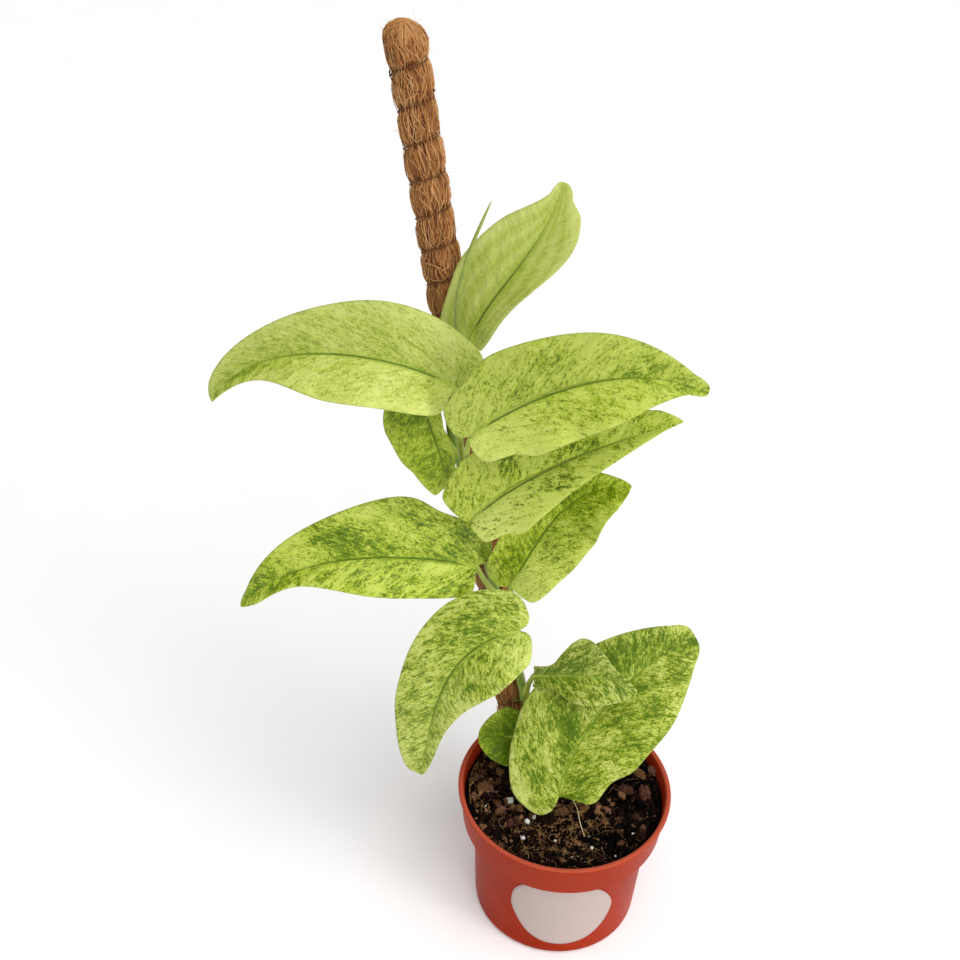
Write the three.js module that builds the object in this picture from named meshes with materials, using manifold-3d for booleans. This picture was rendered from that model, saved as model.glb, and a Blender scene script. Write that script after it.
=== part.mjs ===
// A potted Rhaphidophora korthalsii, climbing a coir pole in a terracotta-coloured nursery pot.
// Millimetres, +Z up. The origin is the centre of the pot's flat base, and the plant faces -Y.
import * as THREE from 'three';
import Module from 'manifold-3d';

const wasm = await Module();
wasm.setup();

// Driving dimensions
const CLEARANCE = 0.3;

const POT_HEIGHT = 93;
const RIM_RADIUS = 60;
const RIM_DROP = 2.8;
const COLLAR_RADIUS = 58;
const COLLAR_FOOT = 70;
const SHOULDER_HEIGHT = 66;
const WAIST_RADIUS = 50;
const HEEL_RADIUS = 47;
const HEEL_HEIGHT = 4;
const FOOT_RADIUS = 43;
const WALL = 1.5;
const FLOOR_THICKNESS = 2;
const RECESS_HEIGHT = 1.5;
const FOOT_RING_WIDTH = 6;
const HUB_RADIUS = 18;
const POT_SIDES = 32;
const DRAIN_COUNT = 6;
const DRAIN_RADIUS = 4.5;
const DRAIN_CIRCLE_RADIUS = 27;
const DRAIN_SIDES = 10;

const SOIL_LEVEL = 85;
const CLOD_COUNT = 30;
const CLOD_SIZE_MIN = 2.4;
const CLOD_SIZE_MAX = 5;
const CLOD_FREE_RADIUS = 16;

const POLE_FOOT = new THREE.Vector3(-26, 37.5, 85);
const POLE_TOP = new THREE.Vector3(-97.8, 40.5, 521);
const COIR_RADIUS = 8.3;
const COIR_BULGE = 0.9;
const COIR_SIDES = 14;
const COIR_GAP_ABOVE_SOIL = 3;
const TOP_KNOB_RADIUS = 9.2;
const TOP_KNOB_LENGTH = 16;
const TOP_KNOB_RINGS = 4;
const TOP_KNOB_ARC = 0.44 * Math.PI;
const STAKE_RADIUS = 4;
const STAKE_SIDES = 10;
const STAKE_FOOT_HEIGHT = 12;
const STAKE_TOP_DROP = 12;
const WINDING_PITCH = 17.2;
const COIR_RINGS_PER_TURN = 3;
const WINDING_FRONT_HEIGHT = 466.2;
const WINDING_LEAN = 3;
const THREAD_RADIUS = 0.6;
const THREAD_RING_RADIUS = 8.9;
const THREAD_STEPS_PER_TURN = 11;
const THREAD_SIDES = 3;
const THREAD_FIRST_HEIGHT = 94;
const THREAD_LAST_HEIGHT = 504.5;

const STEM_RADIUS_LOW = 2.7;
const STEM_RADIUS_HIGH = 2;
const STEM_ROOT_HEIGHT = 52;
const STEM_TIP_HEIGHT = 326;
const STEM_OFFSET = 12.9;
const STEM_TURN_LOW = 26;
const STEM_TURN_HIGH = 124;
const STEM_STEP = 9.13;
const STEM_SIDES = 8;
const NODE_SWELLING = 0.6;
const NODE_REACH = 5;

const BLADE_THICKNESS = 0.8;
const BLADE_ROWS = 16;
const BLADE_REACHES = [0, 0.12, 0.56, 1];
const KEEL_DEPTH = 0.7;
const RIB_FAN = 1.9;
const RIB_FAN_START = 0.18;
const PETIOLE_RADIUS = 1.7;
const PETIOLE_STEPS = 6;
const PETIOLE_SIDES = 6;
const PETIOLE_RUNOUT = 12;

// A small repeatable random source for the clods of the soil.
function randomSource(seed) {
  let state = seed;
  return () => {
    state = (state * 1664525 + 1013904223) % 4294967296;
    return state / 4294967296;
  };
}

// Collects triangles over shared corners, so that the finished mesh is closed and has no slivers.
class Skin {
  constructor() {
    this.corners = [];
    this.faces = [];
    this.known = new Map();
  }

  corner(point) {
    const key = point.toArray().map((value) => Math.round(value * 1e4)).join(' ');
    if (!this.known.has(key)) {
      this.known.set(key, this.corners.length);
      this.corners.push(point);
    }
    return this.known.get(key);
  }

  triangle(a, b, c) {
    const ids = [this.corner(a), this.corner(b), this.corner(c)];
    if (new Set(ids).size === 3) this.faces.push(ids);
  }

  quad(a, b, c, d) {
    this.triangle(a, b, c);
    this.triangle(a, c, d);
  }

  geometry() {
    const geometry = new THREE.BufferGeometry();
    const positions = this.corners.flatMap((corner) => corner.toArray());
    geometry.setAttribute('position', new THREE.Float32BufferAttribute(positions, 3));
    geometry.setIndex(this.faces.flat());
    return geometry;
  }
}

// A closed skin over rings of equally many points, each ring counterclockwise seen from the last one.
function loft(rings) {
  const skin = new Skin();
  const count = rings[0].length;
  for (let i = 0; i + 1 < rings.length; i += 1) {
    for (let j = 0; j < count; j += 1) {
      const k = (j + 1) % count;
      skin.quad(rings[i][j], rings[i][k], rings[i + 1][k], rings[i + 1][j]);
    }
  }
  const first = rings[0];
  const last = rings[rings.length - 1];
  for (let j = 1; j + 1 < count; j += 1) {
    skin.triangle(first[0], first[j + 1], first[j]);
    skin.triangle(last[0], last[j], last[j + 1]);
  }
  return skin.geometry();
}

// Rings of a round rod along points, each with its own radius, carried along without twist.
function rodRings(points, radii, sides) {
  const rings = [];
  let side = null;
  points.forEach((point, i) => {
    const before = points[Math.max(i - 1, 0)];
    const after = points[Math.min(i + 1, points.length - 1)];
    const along = after.clone().sub(before).normalize();
    if (side === null) {
      const start = Math.abs(along.z) > 0.9 ? new THREE.Vector3(1, 0, 0) : new THREE.Vector3(0, 0, 1);
      side = new THREE.Vector3().crossVectors(along, start);
    }
    side.addScaledVector(along, -side.dot(along)).normalize();
    const across = new THREE.Vector3().crossVectors(along, side);
    const ring = [];
    for (let j = 0; j < sides; j += 1) {
      const turn = (2 * Math.PI * j) / sides;
      ring.push(point.clone()
        .addScaledVector(side, radii[i] * Math.cos(turn))
        .addScaledVector(across, radii[i] * Math.sin(turn)));
    }
    rings.push(ring);
  });
  return rings;
}

function rod(points, radii, sides) {
  return loft(rodRings(points, radii, sides));
}

// Turns a geometry into a solid for joining and cutting, with its equal corners merged.
function solidOf(geometry) {
  const skin = new Skin();
  const position = geometry.getAttribute('position');
  const index = geometry.getIndex();
  const count = index ? index.count : position.count;
  const at = (i) => new THREE.Vector3().fromBufferAttribute(position, index ? index.getX(i) : i);
  for (let i = 0; i < count; i += 3) skin.triangle(at(i), at(i + 1), at(i + 2));
  return new wasm.Manifold(new wasm.Mesh({
    numProp: 3,
    vertProperties: new Float32Array(skin.corners.flatMap((corner) => corner.toArray())),
    triVerts: new Uint32Array(skin.faces.flat()),
  }));
}

function geometryOf(solid) {
  const mesh = solid.getMesh();
  const geometry = new THREE.BufferGeometry();
  geometry.setAttribute('position', new THREE.Float32BufferAttribute(mesh.vertProperties, 3));
  geometry.setIndex(Array.from(mesh.triVerts));
  return geometry;
}

function between(a, b, share) {
  return a + (b - a) * share;
}

// The pole's axis, the climbing stem and the places where petioles leave it
function poleAxis(height) {
  const share = (height - POLE_FOOT.z) / (POLE_TOP.z - POLE_FOOT.z);
  return POLE_FOOT.clone().lerp(POLE_TOP, share);
}

function besidePole(height, turnDegrees, distance) {
  const turn = THREE.MathUtils.degToRad(turnDegrees);
  const offset = new THREE.Vector3(Math.cos(turn), -Math.sin(turn), 0);
  return poleAxis(height).addScaledVector(offset, distance);
}

function stemCentre(height) {
  const share = (height - SOIL_LEVEL) / (STEM_TIP_HEIGHT - SOIL_LEVEL);
  const turn = between(STEM_TURN_LOW, STEM_TURN_HIGH, Math.max(share, 0));
  return besidePole(height, turn, STEM_OFFSET);
}

function stemRadius(height) {
  const share = (height - STEM_ROOT_HEIGHT) / (STEM_TIP_HEIGHT - STEM_ROOT_HEIGHT);
  return between(STEM_RADIUS_LOW, STEM_RADIUS_HIGH, share);
}

// Leaves. A midrib is the four control points of a cubic curve from the petiole to the tip. A side is
// measured flat: its half width, how far its lobe reaches behind the petiole, where along the midrib it
// is widest, and its width at the shoulder, past the belly and near the tip as shares of the half width.
// The face looks along a direction given by its turn from -Y towards +X and its rise above level.
const LEAVES = [
  {
    name: 'leaf_01',
    node: 318,
    arch: [-72, 24, 350],
    midrib: [[-64, 26, 371], [-58, 23, 401], [-31, 22, 424], [-26, 34, 453]],
    face: { turn: -5, rise: 30 },
    left: { width: 23.5, lobe: 3, belly: 0.41, shoulder: 0.8, cheek: 0.77, tip: 0.18 },
    right: { width: 16, lobe: 1, belly: 0.71, shoulder: 0.61, cheek: 0.82, tip: 0.41 },
    colour: 0xb9c76a,
  },
  {
    name: 'leaf_02',
    node: 288,
    arch: [-66, 8, 325],
    midrib: [[-70, 6, 360], [-99, -2, 384], [-162, -7, 395], [-181, -4, 352]],
    face: { turn: 0, rise: 30 },
    left: { width: 21, lobe: 0, belly: 0.51, shoulder: 1, cheek: 0.36, tip: 0.11 },
    right: { width: 26, lobe: 9, belly: 0.38, shoulder: 1, cheek: 0.57, tip: 0.23 },
    colour: 0xb7c56d,
  },
  {
    name: 'leaf_03',
    node: 272,
    arch: [-66, 14, 318],
    midrib: [[-61, -14, 347], [-38, -19, 374], [4, -25, 403], [41, -30, 389]],
    face: { turn: 3, rise: 34 },
    left: { width: 26.5, lobe: 6, belly: 0.27, shoulder: 0.89, cheek: 0.78, tip: 0.2 },
    right: { width: 23, lobe: 3.5, belly: 0.27, shoulder: 0.79, cheek: 0.87, tip: 0.17 },
    colour: 0xb4c968,
  },
  {
    name: 'leaf_04',
    node: 302,
    arch: [-86, 24, 335],
    midrib: [[-84, 15, 347], [-84, 8, 330], [-67, 10, 311], [-78, 8, 293]],
    face: { turn: -15, rise: 12 },
    left: { width: 8, lobe: 5, belly: 0.29, shoulder: 1, cheek: 0.86, tip: 0.21 },
    right: { width: 22, lobe: 6, belly: 0.36, shoulder: 0.99, cheek: 0.8, tip: 0.48 },
    colour: 0x93a83f,
  },
  {
    name: 'leaf_05',
    node: 250,
    arch: [-48, 10, 280],
    midrib: [[-60, -4, 287], [-39, -11, 322], [-3, -15, 346], [34, -18, 364]],
    face: { turn: 3, rise: 42 },
    left: { width: 25, lobe: 2, belly: 0.23, shoulder: 0.94, cheek: 0.74, tip: 0.31 },
    right: { width: 20, lobe: 1, belly: 0.25, shoulder: 0.8, cheek: 0.53, tip: 0.08 },
    colour: 0xa9c050,
  },
  {
    name: 'leaf_06',
    node: 190,
    arch: [-36, 12, 214],
    midrib: [[-38, 6, 238], [-27, 2, 264], [-18, 2, 311], [16, -4, 314]],
    face: { turn: 5, rise: 40 },
    left: { width: 17.5, lobe: 4, belly: 0.27, shoulder: 0.98, cheek: 1, tip: 0.26 },
    right: { width: 22, lobe: 1.5, belly: 0.34, shoulder: 0.8, cheek: 1, tip: 0.53 },
    colour: 0x9fb347,
  },
  {
    name: 'leaf_07',
    node: 210,
    arch: [-50, 14, 230],
    midrib: [[-56, 6, 250], [-94, -5, 267], [-150, -9, 267], [-174, -8, 227]],
    face: { turn: -3, rise: 38 },
    left: { width: 18.5, lobe: 0.5, belly: 0.44, shoulder: 1.1, cheek: 0.42, tip: 0.27 },
    right: { width: 30, lobe: 6, belly: 0.32, shoulder: 0.8, cheek: 0.59, tip: 0.12 },
    colour: 0xa4ba4e,
  },
  {
    name: 'leaf_08',
    node: 162,
    arch: [-30, 2, 200],
    midrib: [[-33, -19, 230], [-79, -34, 230], [-74, -30, 158], [-81, -26, 127]],
    face: { turn: -8, rise: 36 },
    left: { width: 23, lobe: 5.5, belly: 0.31, shoulder: 1.08, cheek: 0.36, tip: 0.17 },
    right: { width: 26, lobe: 6, belly: 0.25, shoulder: 1, cheek: 0.75, tip: 0.39 },
    colour: 0xa9bd56,
  },
  {
    name: 'leaf_09',
    node: 134,
    arch: [-24, 22, 152],
    midrib: [[-22, 16, 163], [-12, 8, 170], [12, 3, 184], [33, -1, 171]],
    face: { turn: 10, rise: 40 },
    left: { width: 20.5, lobe: -3, belly: 0.5, shoulder: 0.31, cheek: 0.36, tip: 0.12 },
    right: { width: 14, lobe: -2, belly: 0.43, shoulder: 0.55, cheek: 1, tip: 0.5 },
    colour: 0x8c9f5a,
  },
  {
    name: 'leaf_10',
    node: 95,
    arch: [-12, 2, 106],
    midrib: [[-4, -20, 107], [1, -3, 144], [31, 14, 172], [64, 30, 186]],
    face: { turn: -5, rise: 40 },
    left: { width: 36.5, lobe: 12.5, belly: 0.37, shoulder: 0.96, cheek: 0.71, tip: 0.3 },
    right: { width: 33, lobe: 0, belly: 0.32, shoulder: 0.75, cheek: 0.97, tip: 0.41 },
    colour: 0x9db348,
  },
  {
    name: 'leaf_11',
    node: 109,
    arch: [-18, 18, 122],
    midrib: [[-25, 13, 117], [-32, 11, 119], [-41, 9, 120], [-50, 8, 121]],
    face: { turn: -5, rise: 40 },
    left: { width: 15.5, lobe: 3, belly: 0.4, shoulder: 0.9, cheek: 0.8, tip: 0.4 },
    right: { width: 16.5, lobe: 3, belly: 0.4, shoulder: 0.9, cheek: 0.8, tip: 0.4 },
    colour: 0x7f9a37,
  },
];
const BLADE_FOLD = 0.3;
const BLADE_ARCH = 0.008;
const WAVE_HEIGHT = 0.9;
const WAVE_LENGTH = 34;

// One side's outline from the petiole round the lobe to the tip, as flat (along, across) points.
function sideOutline(length, side) {
  const { width, lobe, belly, shoulder, cheek, tip } = side;
  return new THREE.SplineCurve([
    new THREE.Vector2(0, 0),
    new THREE.Vector2(-0.75 * lobe, 0.08 * width),
    new THREE.Vector2(-lobe, 0.27 * width),
    new THREE.Vector2(-0.45 * lobe, 0.66 * shoulder * width),
    new THREE.Vector2(0.5 * belly * length, shoulder * width),
    new THREE.Vector2(belly * length, width),
    new THREE.Vector2(0.5 * (1 + belly) * length, cheek * width),
    new THREE.Vector2(0.93 * length, tip * width),
    new THREE.Vector2(length, 0),
  ]);
}

// The curved sheet that carries a blade: flat (along, across) points go to places in space.
class LeafSheet {
  constructor(leaf) {
    const points = leaf.midrib.map((point) => new THREE.Vector3(...point));
    const turn = THREE.MathUtils.degToRad(leaf.face.turn);
    const rise = THREE.MathUtils.degToRad(leaf.face.rise);
    this.curve = new THREE.CubicBezierCurve3(...points);
    this.length = this.curve.getLength();
    this.facing = new THREE.Vector3(
      Math.sin(turn) * Math.cos(rise),
      -Math.cos(turn) * Math.cos(rise),
      Math.sin(rise),
    );
  }

  frame(along) {
    const share = THREE.MathUtils.clamp(along / this.length, 0, 1);
    const tangent = this.curve.getTangentAt(share);
    const centre = this.curve.getPointAt(share);
    centre.addScaledVector(tangent, along - share * this.length);
    const across = new THREE.Vector3().crossVectors(tangent, this.facing).normalize();
    const normal = new THREE.Vector3().crossVectors(across, tangent);
    return { centre, across, normal };
  }

  at(along, across, width, lift) {
    const frame = this.frame(along);
    const edge = (across / width) ** 2;
    const wave = WAVE_HEIGHT * edge * Math.sin((2 * Math.PI * along) / WAVE_LENGTH + Math.sign(across));
    const fold = BLADE_FOLD * Math.abs(across) - BLADE_ARCH * across * across;
    return frame.centre
      .addScaledVector(frame.across, across)
      .addScaledVector(frame.normal, fold + wave + lift);
  }
}

// Where on the midrib the lateral vein starts that reaches the outline at a share of its way round.
function veinStart(share, length) {
  return length * Math.max(0, (share - RIB_FAN_START) / (1 - RIB_FAN_START)) ** RIB_FAN;
}

function bladeSolid(leaf, sheet) {
  const outlines = {
    left: sideOutline(sheet.length, leaf.left),
    right: sideOutline(sheet.length, leaf.right),
  };
  const point = (row, column, face) => {
    const share = row / BLADE_ROWS;
    const side = column < 0 ? 'left' : 'right';
    const edge = outlines[side].getPoint(share);
    const reach = BLADE_REACHES[Math.abs(column)];
    const along = between(veinStart(share, sheet.length), edge.x, reach);
    const across = Math.sign(column) * edge.y * reach;
    const keel = face < 0 && column === 0 ? KEEL_DEPTH * (1 - share) : 0;
    return sheet.at(along, across, leaf[side].width, (face * BLADE_THICKNESS) / 2 - keel);
  };
  const skin = new Skin();
  const margin = BLADE_REACHES.length - 1;
  for (let row = 0; row < BLADE_ROWS; row += 1) {
    for (let column = -margin; column < margin; column += 1) {
      const corners = [[row, column], [row, column + 1], [row + 1, column + 1], [row + 1, column]];
      skin.quad(...corners.map(([r, c]) => point(r, c, 1)));
      skin.quad(...corners.map(([r, c]) => point(r, c, -1)).reverse());
    }
    for (const [column, from, to] of [[margin, row, row + 1], [-margin, row + 1, row]]) {
      skin.quad(
        point(from, column, 1),
        point(from, column, -1),
        point(to, column, -1),
        point(to, column, 1),
      );
    }
  }
  return solidOf(skin.geometry());
}

// The petiole rises from the stem in one bow, meets the blade from below and runs out under its keel.
function petioleSolid(leaf, sheet) {
  const foot = stemCentre(leaf.node);
  const head = sheet.at(0, 0, 1, -0.5 * PETIOLE_RADIUS);
  const bow = new THREE.QuadraticBezierCurve3(foot, new THREE.Vector3(...leaf.arch), head);
  const points = bow.getPoints(PETIOLE_STEPS);
  const radii = points.map((_, i) => between(PETIOLE_RADIUS, 0.75 * PETIOLE_RADIUS, i / PETIOLE_STEPS));
  points.push(sheet.at(PETIOLE_RUNOUT, 0, 1, -0.3 * PETIOLE_RADIUS));
  radii.push(0.35 * PETIOLE_RADIUS);
  return solidOf(rod(points, radii, PETIOLE_SIDES));
}

// The stem with its swollen nodes, or the same shape grown by a gap for cutting.
function stemSolid(gap) {
  const points = [];
  const radii = [];
  for (let height = STEM_ROOT_HEIGHT; height <= STEM_TIP_HEIGHT; height += STEM_STEP) {
    const atNode = LEAVES.some((leaf) => Math.abs(leaf.node - height) < NODE_REACH);
    points.push(stemCentre(height));
    radii.push(stemRadius(height) + (atNode ? NODE_SWELLING : 0) + gap);
  }
  points[0].z -= gap;
  return solidOf(rod(points, radii, STEM_SIDES));
}

const stemGap = stemSolid(CLEARANCE);

function leafGeometry(leaf) {
  const sheet = new LeafSheet(leaf);
  const whole = petioleSolid(leaf, sheet).subtract(stemGap).add(bladeSolid(leaf, sheet));
  return geometryOf(whole);
}

// The rolled spear of the next leaf, which rises out of the petiole of the top leaf
const SPEAR_PATH = [
  [-67.4, 23.1, 362],
  [-70, 20, 382],
  [-70, 18, 400],
  [-68, 17, 414],
  [-65, 18, 427],
  [-61, 21, 438],
  [-57, 25, 447],
];
const SPEAR_RADIUS = 1.6;
const SPEAR_STEPS = 12;
const SPEAR_SIDES = 6;
const SPEAR_BLUNTNESS = 0.02;

function spearGeometry() {
  const curve = new THREE.CatmullRomCurve3(SPEAR_PATH.map((point) => new THREE.Vector3(...point)));
  const points = curve.getPoints(SPEAR_STEPS);
  const radii = points.map((_, i) => {
    const left = Math.max(1 - i / SPEAR_STEPS, SPEAR_BLUNTNESS);
    return SPEAR_RADIUS * Math.sqrt(left);
  });
  return rod(points, radii, SPEAR_SIDES);
}

// The stake up to just under the coir's top, or the same shape grown by a gap for cutting.
function stakeRod(foot, gap) {
  const ends = [poleAxis(foot - gap), poleAxis(POLE_TOP.z - STAKE_TOP_DROP + gap)];
  return rod(ends, ends.map(() => STAKE_RADIUS + gap), STAKE_SIDES);
}

// The coir sleeve swells between the turns of the tie thread, which sits in a winding groove. Each turn
// leans: it lies higher at the front of the pole than behind.
function windingRise(turn) {
  return -WINDING_LEAN * Math.sin(turn);
}

function windingPhase(height, turn) {
  const level = height - windingRise(turn) - WINDING_FRONT_HEIGHT;
  return (2 * Math.PI * level) / WINDING_PITCH - turn - Math.PI / 2;
}

function coirRadius(height, turn) {
  const knob = Math.max(0, 1 - (POLE_TOP.z - height) / TOP_KNOB_LENGTH);
  const wound = COIR_RADIUS - COIR_BULGE * Math.cos(windingPhase(height, turn));
  return between(wound, TOP_KNOB_RADIUS, Math.min(1, 2 * knob));
}

function coirGeometry() {
  const start = POLE_FOOT.z + COIR_GAP_ABOVE_SOIL;
  const steps = Math.round((POLE_TOP.z - start) * (COIR_RINGS_PER_TURN / WINDING_PITCH));
  const ringAt = (height, scale) => {
    const ring = [];
    for (let j = 0; j < COIR_SIDES; j += 1) {
      const turn = (2 * Math.PI * j) / COIR_SIDES;
      const outward = new THREE.Vector3(Math.cos(turn), Math.sin(turn), 0);
      ring.push(poleAxis(height).addScaledVector(outward, scale * coirRadius(height, turn)));
    }
    return ring;
  };
  const rings = [];
  const domeFoot = POLE_TOP.z - TOP_KNOB_RADIUS;
  for (let i = 0; i <= steps; i += 1) rings.push(ringAt(between(start, domeFoot, i / steps), 1));
  for (let i = 1; i <= TOP_KNOB_RINGS; i += 1) {
    const rise = (TOP_KNOB_ARC * i) / TOP_KNOB_RINGS;
    rings.push(ringAt(domeFoot + TOP_KNOB_RADIUS * Math.sin(rise), Math.cos(rise)));
  }
  const bore = solidOf(stakeRod(STAKE_FOOT_HEIGHT, CLEARANCE));
  return geometryOf(solidOf(loft(rings)).subtract(bore));
}

function threadGeometry() {
  const turns = (THREAD_LAST_HEIGHT - THREAD_FIRST_HEIGHT) / WINDING_PITCH;
  const steps = Math.round(turns * THREAD_STEPS_PER_TURN);
  const points = [];
  for (let i = 0; i <= steps; i += 1) {
    const level = between(THREAD_FIRST_HEIGHT, THREAD_LAST_HEIGHT, i / steps);
    const turn = (2 * Math.PI * (level - WINDING_FRONT_HEIGHT)) / WINDING_PITCH - Math.PI / 2;
    const outward = new THREE.Vector3(Math.cos(turn), Math.sin(turn), 0);
    points.push(poleAxis(level + windingRise(turn)).addScaledVector(outward, THREAD_RING_RADIUS));
  }
  return rod(points, points.map(() => THREAD_RADIUS), THREAD_SIDES);
}

// The pot's outer profile from the centre of its base to the top of its rim, then down inside.
const POT_OUTSIDE = [
  [0, 0],
  [HUB_RADIUS, 0],
  [HUB_RADIUS + RECESS_HEIGHT, RECESS_HEIGHT],
  [FOOT_RADIUS - FOOT_RING_WIDTH - RECESS_HEIGHT, RECESS_HEIGHT],
  [FOOT_RADIUS - FOOT_RING_WIDTH, 0],
  [FOOT_RADIUS, 0],
  [HEEL_RADIUS - 1.2, 1.4],
  [HEEL_RADIUS, HEEL_HEIGHT],
  [WAIST_RADIUS, SHOULDER_HEIGHT],
  [COLLAR_RADIUS - 1.5, COLLAR_FOOT],
  [COLLAR_RADIUS, POT_HEIGHT - RIM_DROP - 1],
  [RIM_RADIUS - 0.6, POT_HEIGHT - RIM_DROP],
  [RIM_RADIUS, POT_HEIGHT - RIM_DROP / 2],
  [RIM_RADIUS - 1, POT_HEIGHT],
];
const FLOOR_TOP = RECESS_HEIGHT + FLOOR_THICKNESS;
const POT_INSIDE = [
  [COLLAR_RADIUS - WALL + 0.4, POT_HEIGHT],
  [COLLAR_RADIUS - WALL, POT_HEIGHT - RIM_DROP],
  [COLLAR_RADIUS - 1.5 - WALL, COLLAR_FOOT + 1],
  [WAIST_RADIUS - WALL, SHOULDER_HEIGHT + 1],
  [HEEL_RADIUS - WALL, FLOOR_TOP + 2],
  [HEEL_RADIUS - WALL - 1.5, FLOOR_TOP],
  [0, FLOOR_TOP],
];

function turned(profile) {
  const geometry = new THREE.LatheGeometry(
    profile.map(([radius, height]) => new THREE.Vector2(radius, height)),
    POT_SIDES,
  );
  return geometry.rotateX(Math.PI / 2);
}

function potGeometry() {
  let pot = solidOf(turned([...POT_OUTSIDE, ...POT_INSIDE]));
  for (let i = 0; i < DRAIN_COUNT; i += 1) {
    const turn = (2 * Math.PI * i) / DRAIN_COUNT;
    const drain = new THREE.CylinderGeometry(DRAIN_RADIUS, DRAIN_RADIUS, 4 * FLOOR_TOP, DRAIN_SIDES)
      .rotateX(Math.PI / 2)
      .translate(DRAIN_CIRCLE_RADIUS * Math.cos(turn), DRAIN_CIRCLE_RADIUS * Math.sin(turn), 0);
    pot = pot.subtract(solidOf(drain));
  }
  return geometryOf(pot);
}

// The sticker wraps the front of the pot. Its edges are read as heights at turns from the front.
const LABEL_THICKNESS = 0.4;
const LABEL_LEFT = -33;
const LABEL_RIGHT = 37;
const LABEL_COLUMNS = 18;
const LABEL_TOP = [[-33, 43], [-31, 52], [-25, 60], [-14, 65], [14, 64.5], [26, 59], [33, 50], [37, 40]];
const LABEL_BOTTOM = [[-33, 41], [-30, 31], [-21, 20], [2, 11.5], [25, 18], [33, 27], [37, 38]];

function heightAlong(edge, turn) {
  const curve = new THREE.SplineCurve(edge.map(([x, y]) => new THREE.Vector2(x, y)));
  let low = 0;
  let high = 1;
  for (let i = 0; i < 30; i += 1) {
    const middle = (low + high) / 2;
    if (curve.getPoint(middle).x < turn) low = middle;
    else high = middle;
  }
  return curve.getPoint(low).y;
}

function labelGeometry() {
  const onWall = (turnDegrees, height, lift) => {
    const share = (height - HEEL_HEIGHT) / (SHOULDER_HEIGHT - HEEL_HEIGHT);
    const radius = between(HEEL_RADIUS, WAIST_RADIUS, share) + lift;
    const turn = THREE.MathUtils.degToRad(turnDegrees);
    return new THREE.Vector3(radius * Math.sin(turn), -radius * Math.cos(turn), height);
  };
  const rings = [];
  for (let i = 0; i <= LABEL_COLUMNS; i += 1) {
    const turn = between(LABEL_LEFT, LABEL_RIGHT, i / LABEL_COLUMNS);
    const top = heightAlong(LABEL_TOP, turn);
    const bottom = heightAlong(LABEL_BOTTOM, turn);
    rings.push([
      onWall(turn, bottom, CLEARANCE),
      onWall(turn, top, CLEARANCE),
      onWall(turn, top, CLEARANCE + LABEL_THICKNESS),
      onWall(turn, bottom, CLEARANCE + LABEL_THICKNESS),
    ]);
  }
  return loft(rings);
}

// The soil fills the pot up to an uneven top with clods, and the stake and the stem stand in holes.
function soilTop(x, y) {
  const swell = 1.3 * Math.sin(x / 9 + 1) * Math.cos(y / 8) + 0.8 * Math.sin(x / 4.3 + y / 5.1);
  return SOIL_LEVEL + swell;
}

function soilGeometry() {
  const wall = COLLAR_RADIUS - 1.5 - WALL - CLEARANCE;
  const bed = FLOOR_TOP + CLEARANCE;
  const profile = [
    [0, bed],
    [HEEL_RADIUS - WALL - 2 - CLEARANCE, bed],
    [HEEL_RADIUS - WALL - CLEARANCE, bed + 2.5],
    [WAIST_RADIUS - WALL - CLEARANCE, SHOULDER_HEIGHT + 1],
    [wall, COLLAR_FOOT + 1.6],
    [wall + 0.9, SOIL_LEVEL],
    [46, SOIL_LEVEL],
    [36, SOIL_LEVEL],
    [26, SOIL_LEVEL],
    [16, SOIL_LEVEL],
    [7, SOIL_LEVEL],
    [0, SOIL_LEVEL],
  ];
  const body = turned(profile);
  const position = body.getAttribute('position');
  for (let i = 0; i < position.count; i += 1) {
    if (position.getZ(i) > SOIL_LEVEL - 0.1) {
      position.setZ(i, soilTop(position.getX(i), position.getY(i)));
    }
  }
  let soil = solidOf(body);
  const random = randomSource(7);
  for (let i = 0; i < CLOD_COUNT; i += 1) {
    const size = between(CLOD_SIZE_MIN, CLOD_SIZE_MAX, random());
    const reach = (wall - size - 0.6) * Math.sqrt(random());
    const turn = 2 * Math.PI * random();
    const flatness = between(0.7, 1, random());
    const x = reach * Math.cos(turn);
    const y = reach * Math.sin(turn);
    const clod = new THREE.IcosahedronGeometry(size, 0)
      .scale(1, flatness, 0.8)
      .rotateZ(turn)
      .translate(x, y, soilTop(x, y) + 0.15 * size);
    const besideFoot = Math.hypot(x - POLE_FOOT.x, y - POLE_FOOT.y);
    if (besideFoot > CLOD_FREE_RADIUS) soil = soil.add(solidOf(clod));
  }
  const stakeHole = solidOf(stakeRod(STAKE_FOOT_HEIGHT, CLEARANCE));
  return geometryOf(soil.subtract(stakeHole).subtract(stemGap));
}

// The whole plant, pot and pole
const part = new THREE.Group();

function place(name, geometry, color, roughness) {
  const material = new THREE.MeshStandardMaterial({ color, roughness, metalness: 0 });
  const mesh = new THREE.Mesh(geometry, material);
  mesh.name = name;
  part.add(mesh);
}

place('pot', potGeometry(), 0xb0503c, 0.45);
place('label', labelGeometry(), 0xd9c5c0, 0.5);
place('soil', soilGeometry(), 0x2c1b14, 0.95);
place('pole_stake', stakeRod(STAKE_FOOT_HEIGHT, 0), 0x1c1e22, 0.4);
place('pole_coir', coirGeometry(), 0x8b5a3a, 0.95);
place('pole_thread', threadGeometry(), 0x3c2a20, 0.8);
place('stem', geometryOf(stemSolid(0)), 0x6f8a35, 0.5);
for (const leaf of LEAVES) place(leaf.name, leafGeometry(leaf), leaf.colour, 0.4);
place('new_leaf', spearGeometry(), 0x8fa548, 0.4);

export default part;
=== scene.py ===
"""A potted Rhaphidophora korthalsii on a coir pole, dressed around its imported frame.

Sizes in the classes are millimetres, degrees and shares; meshes are made in metres.
"""

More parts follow.
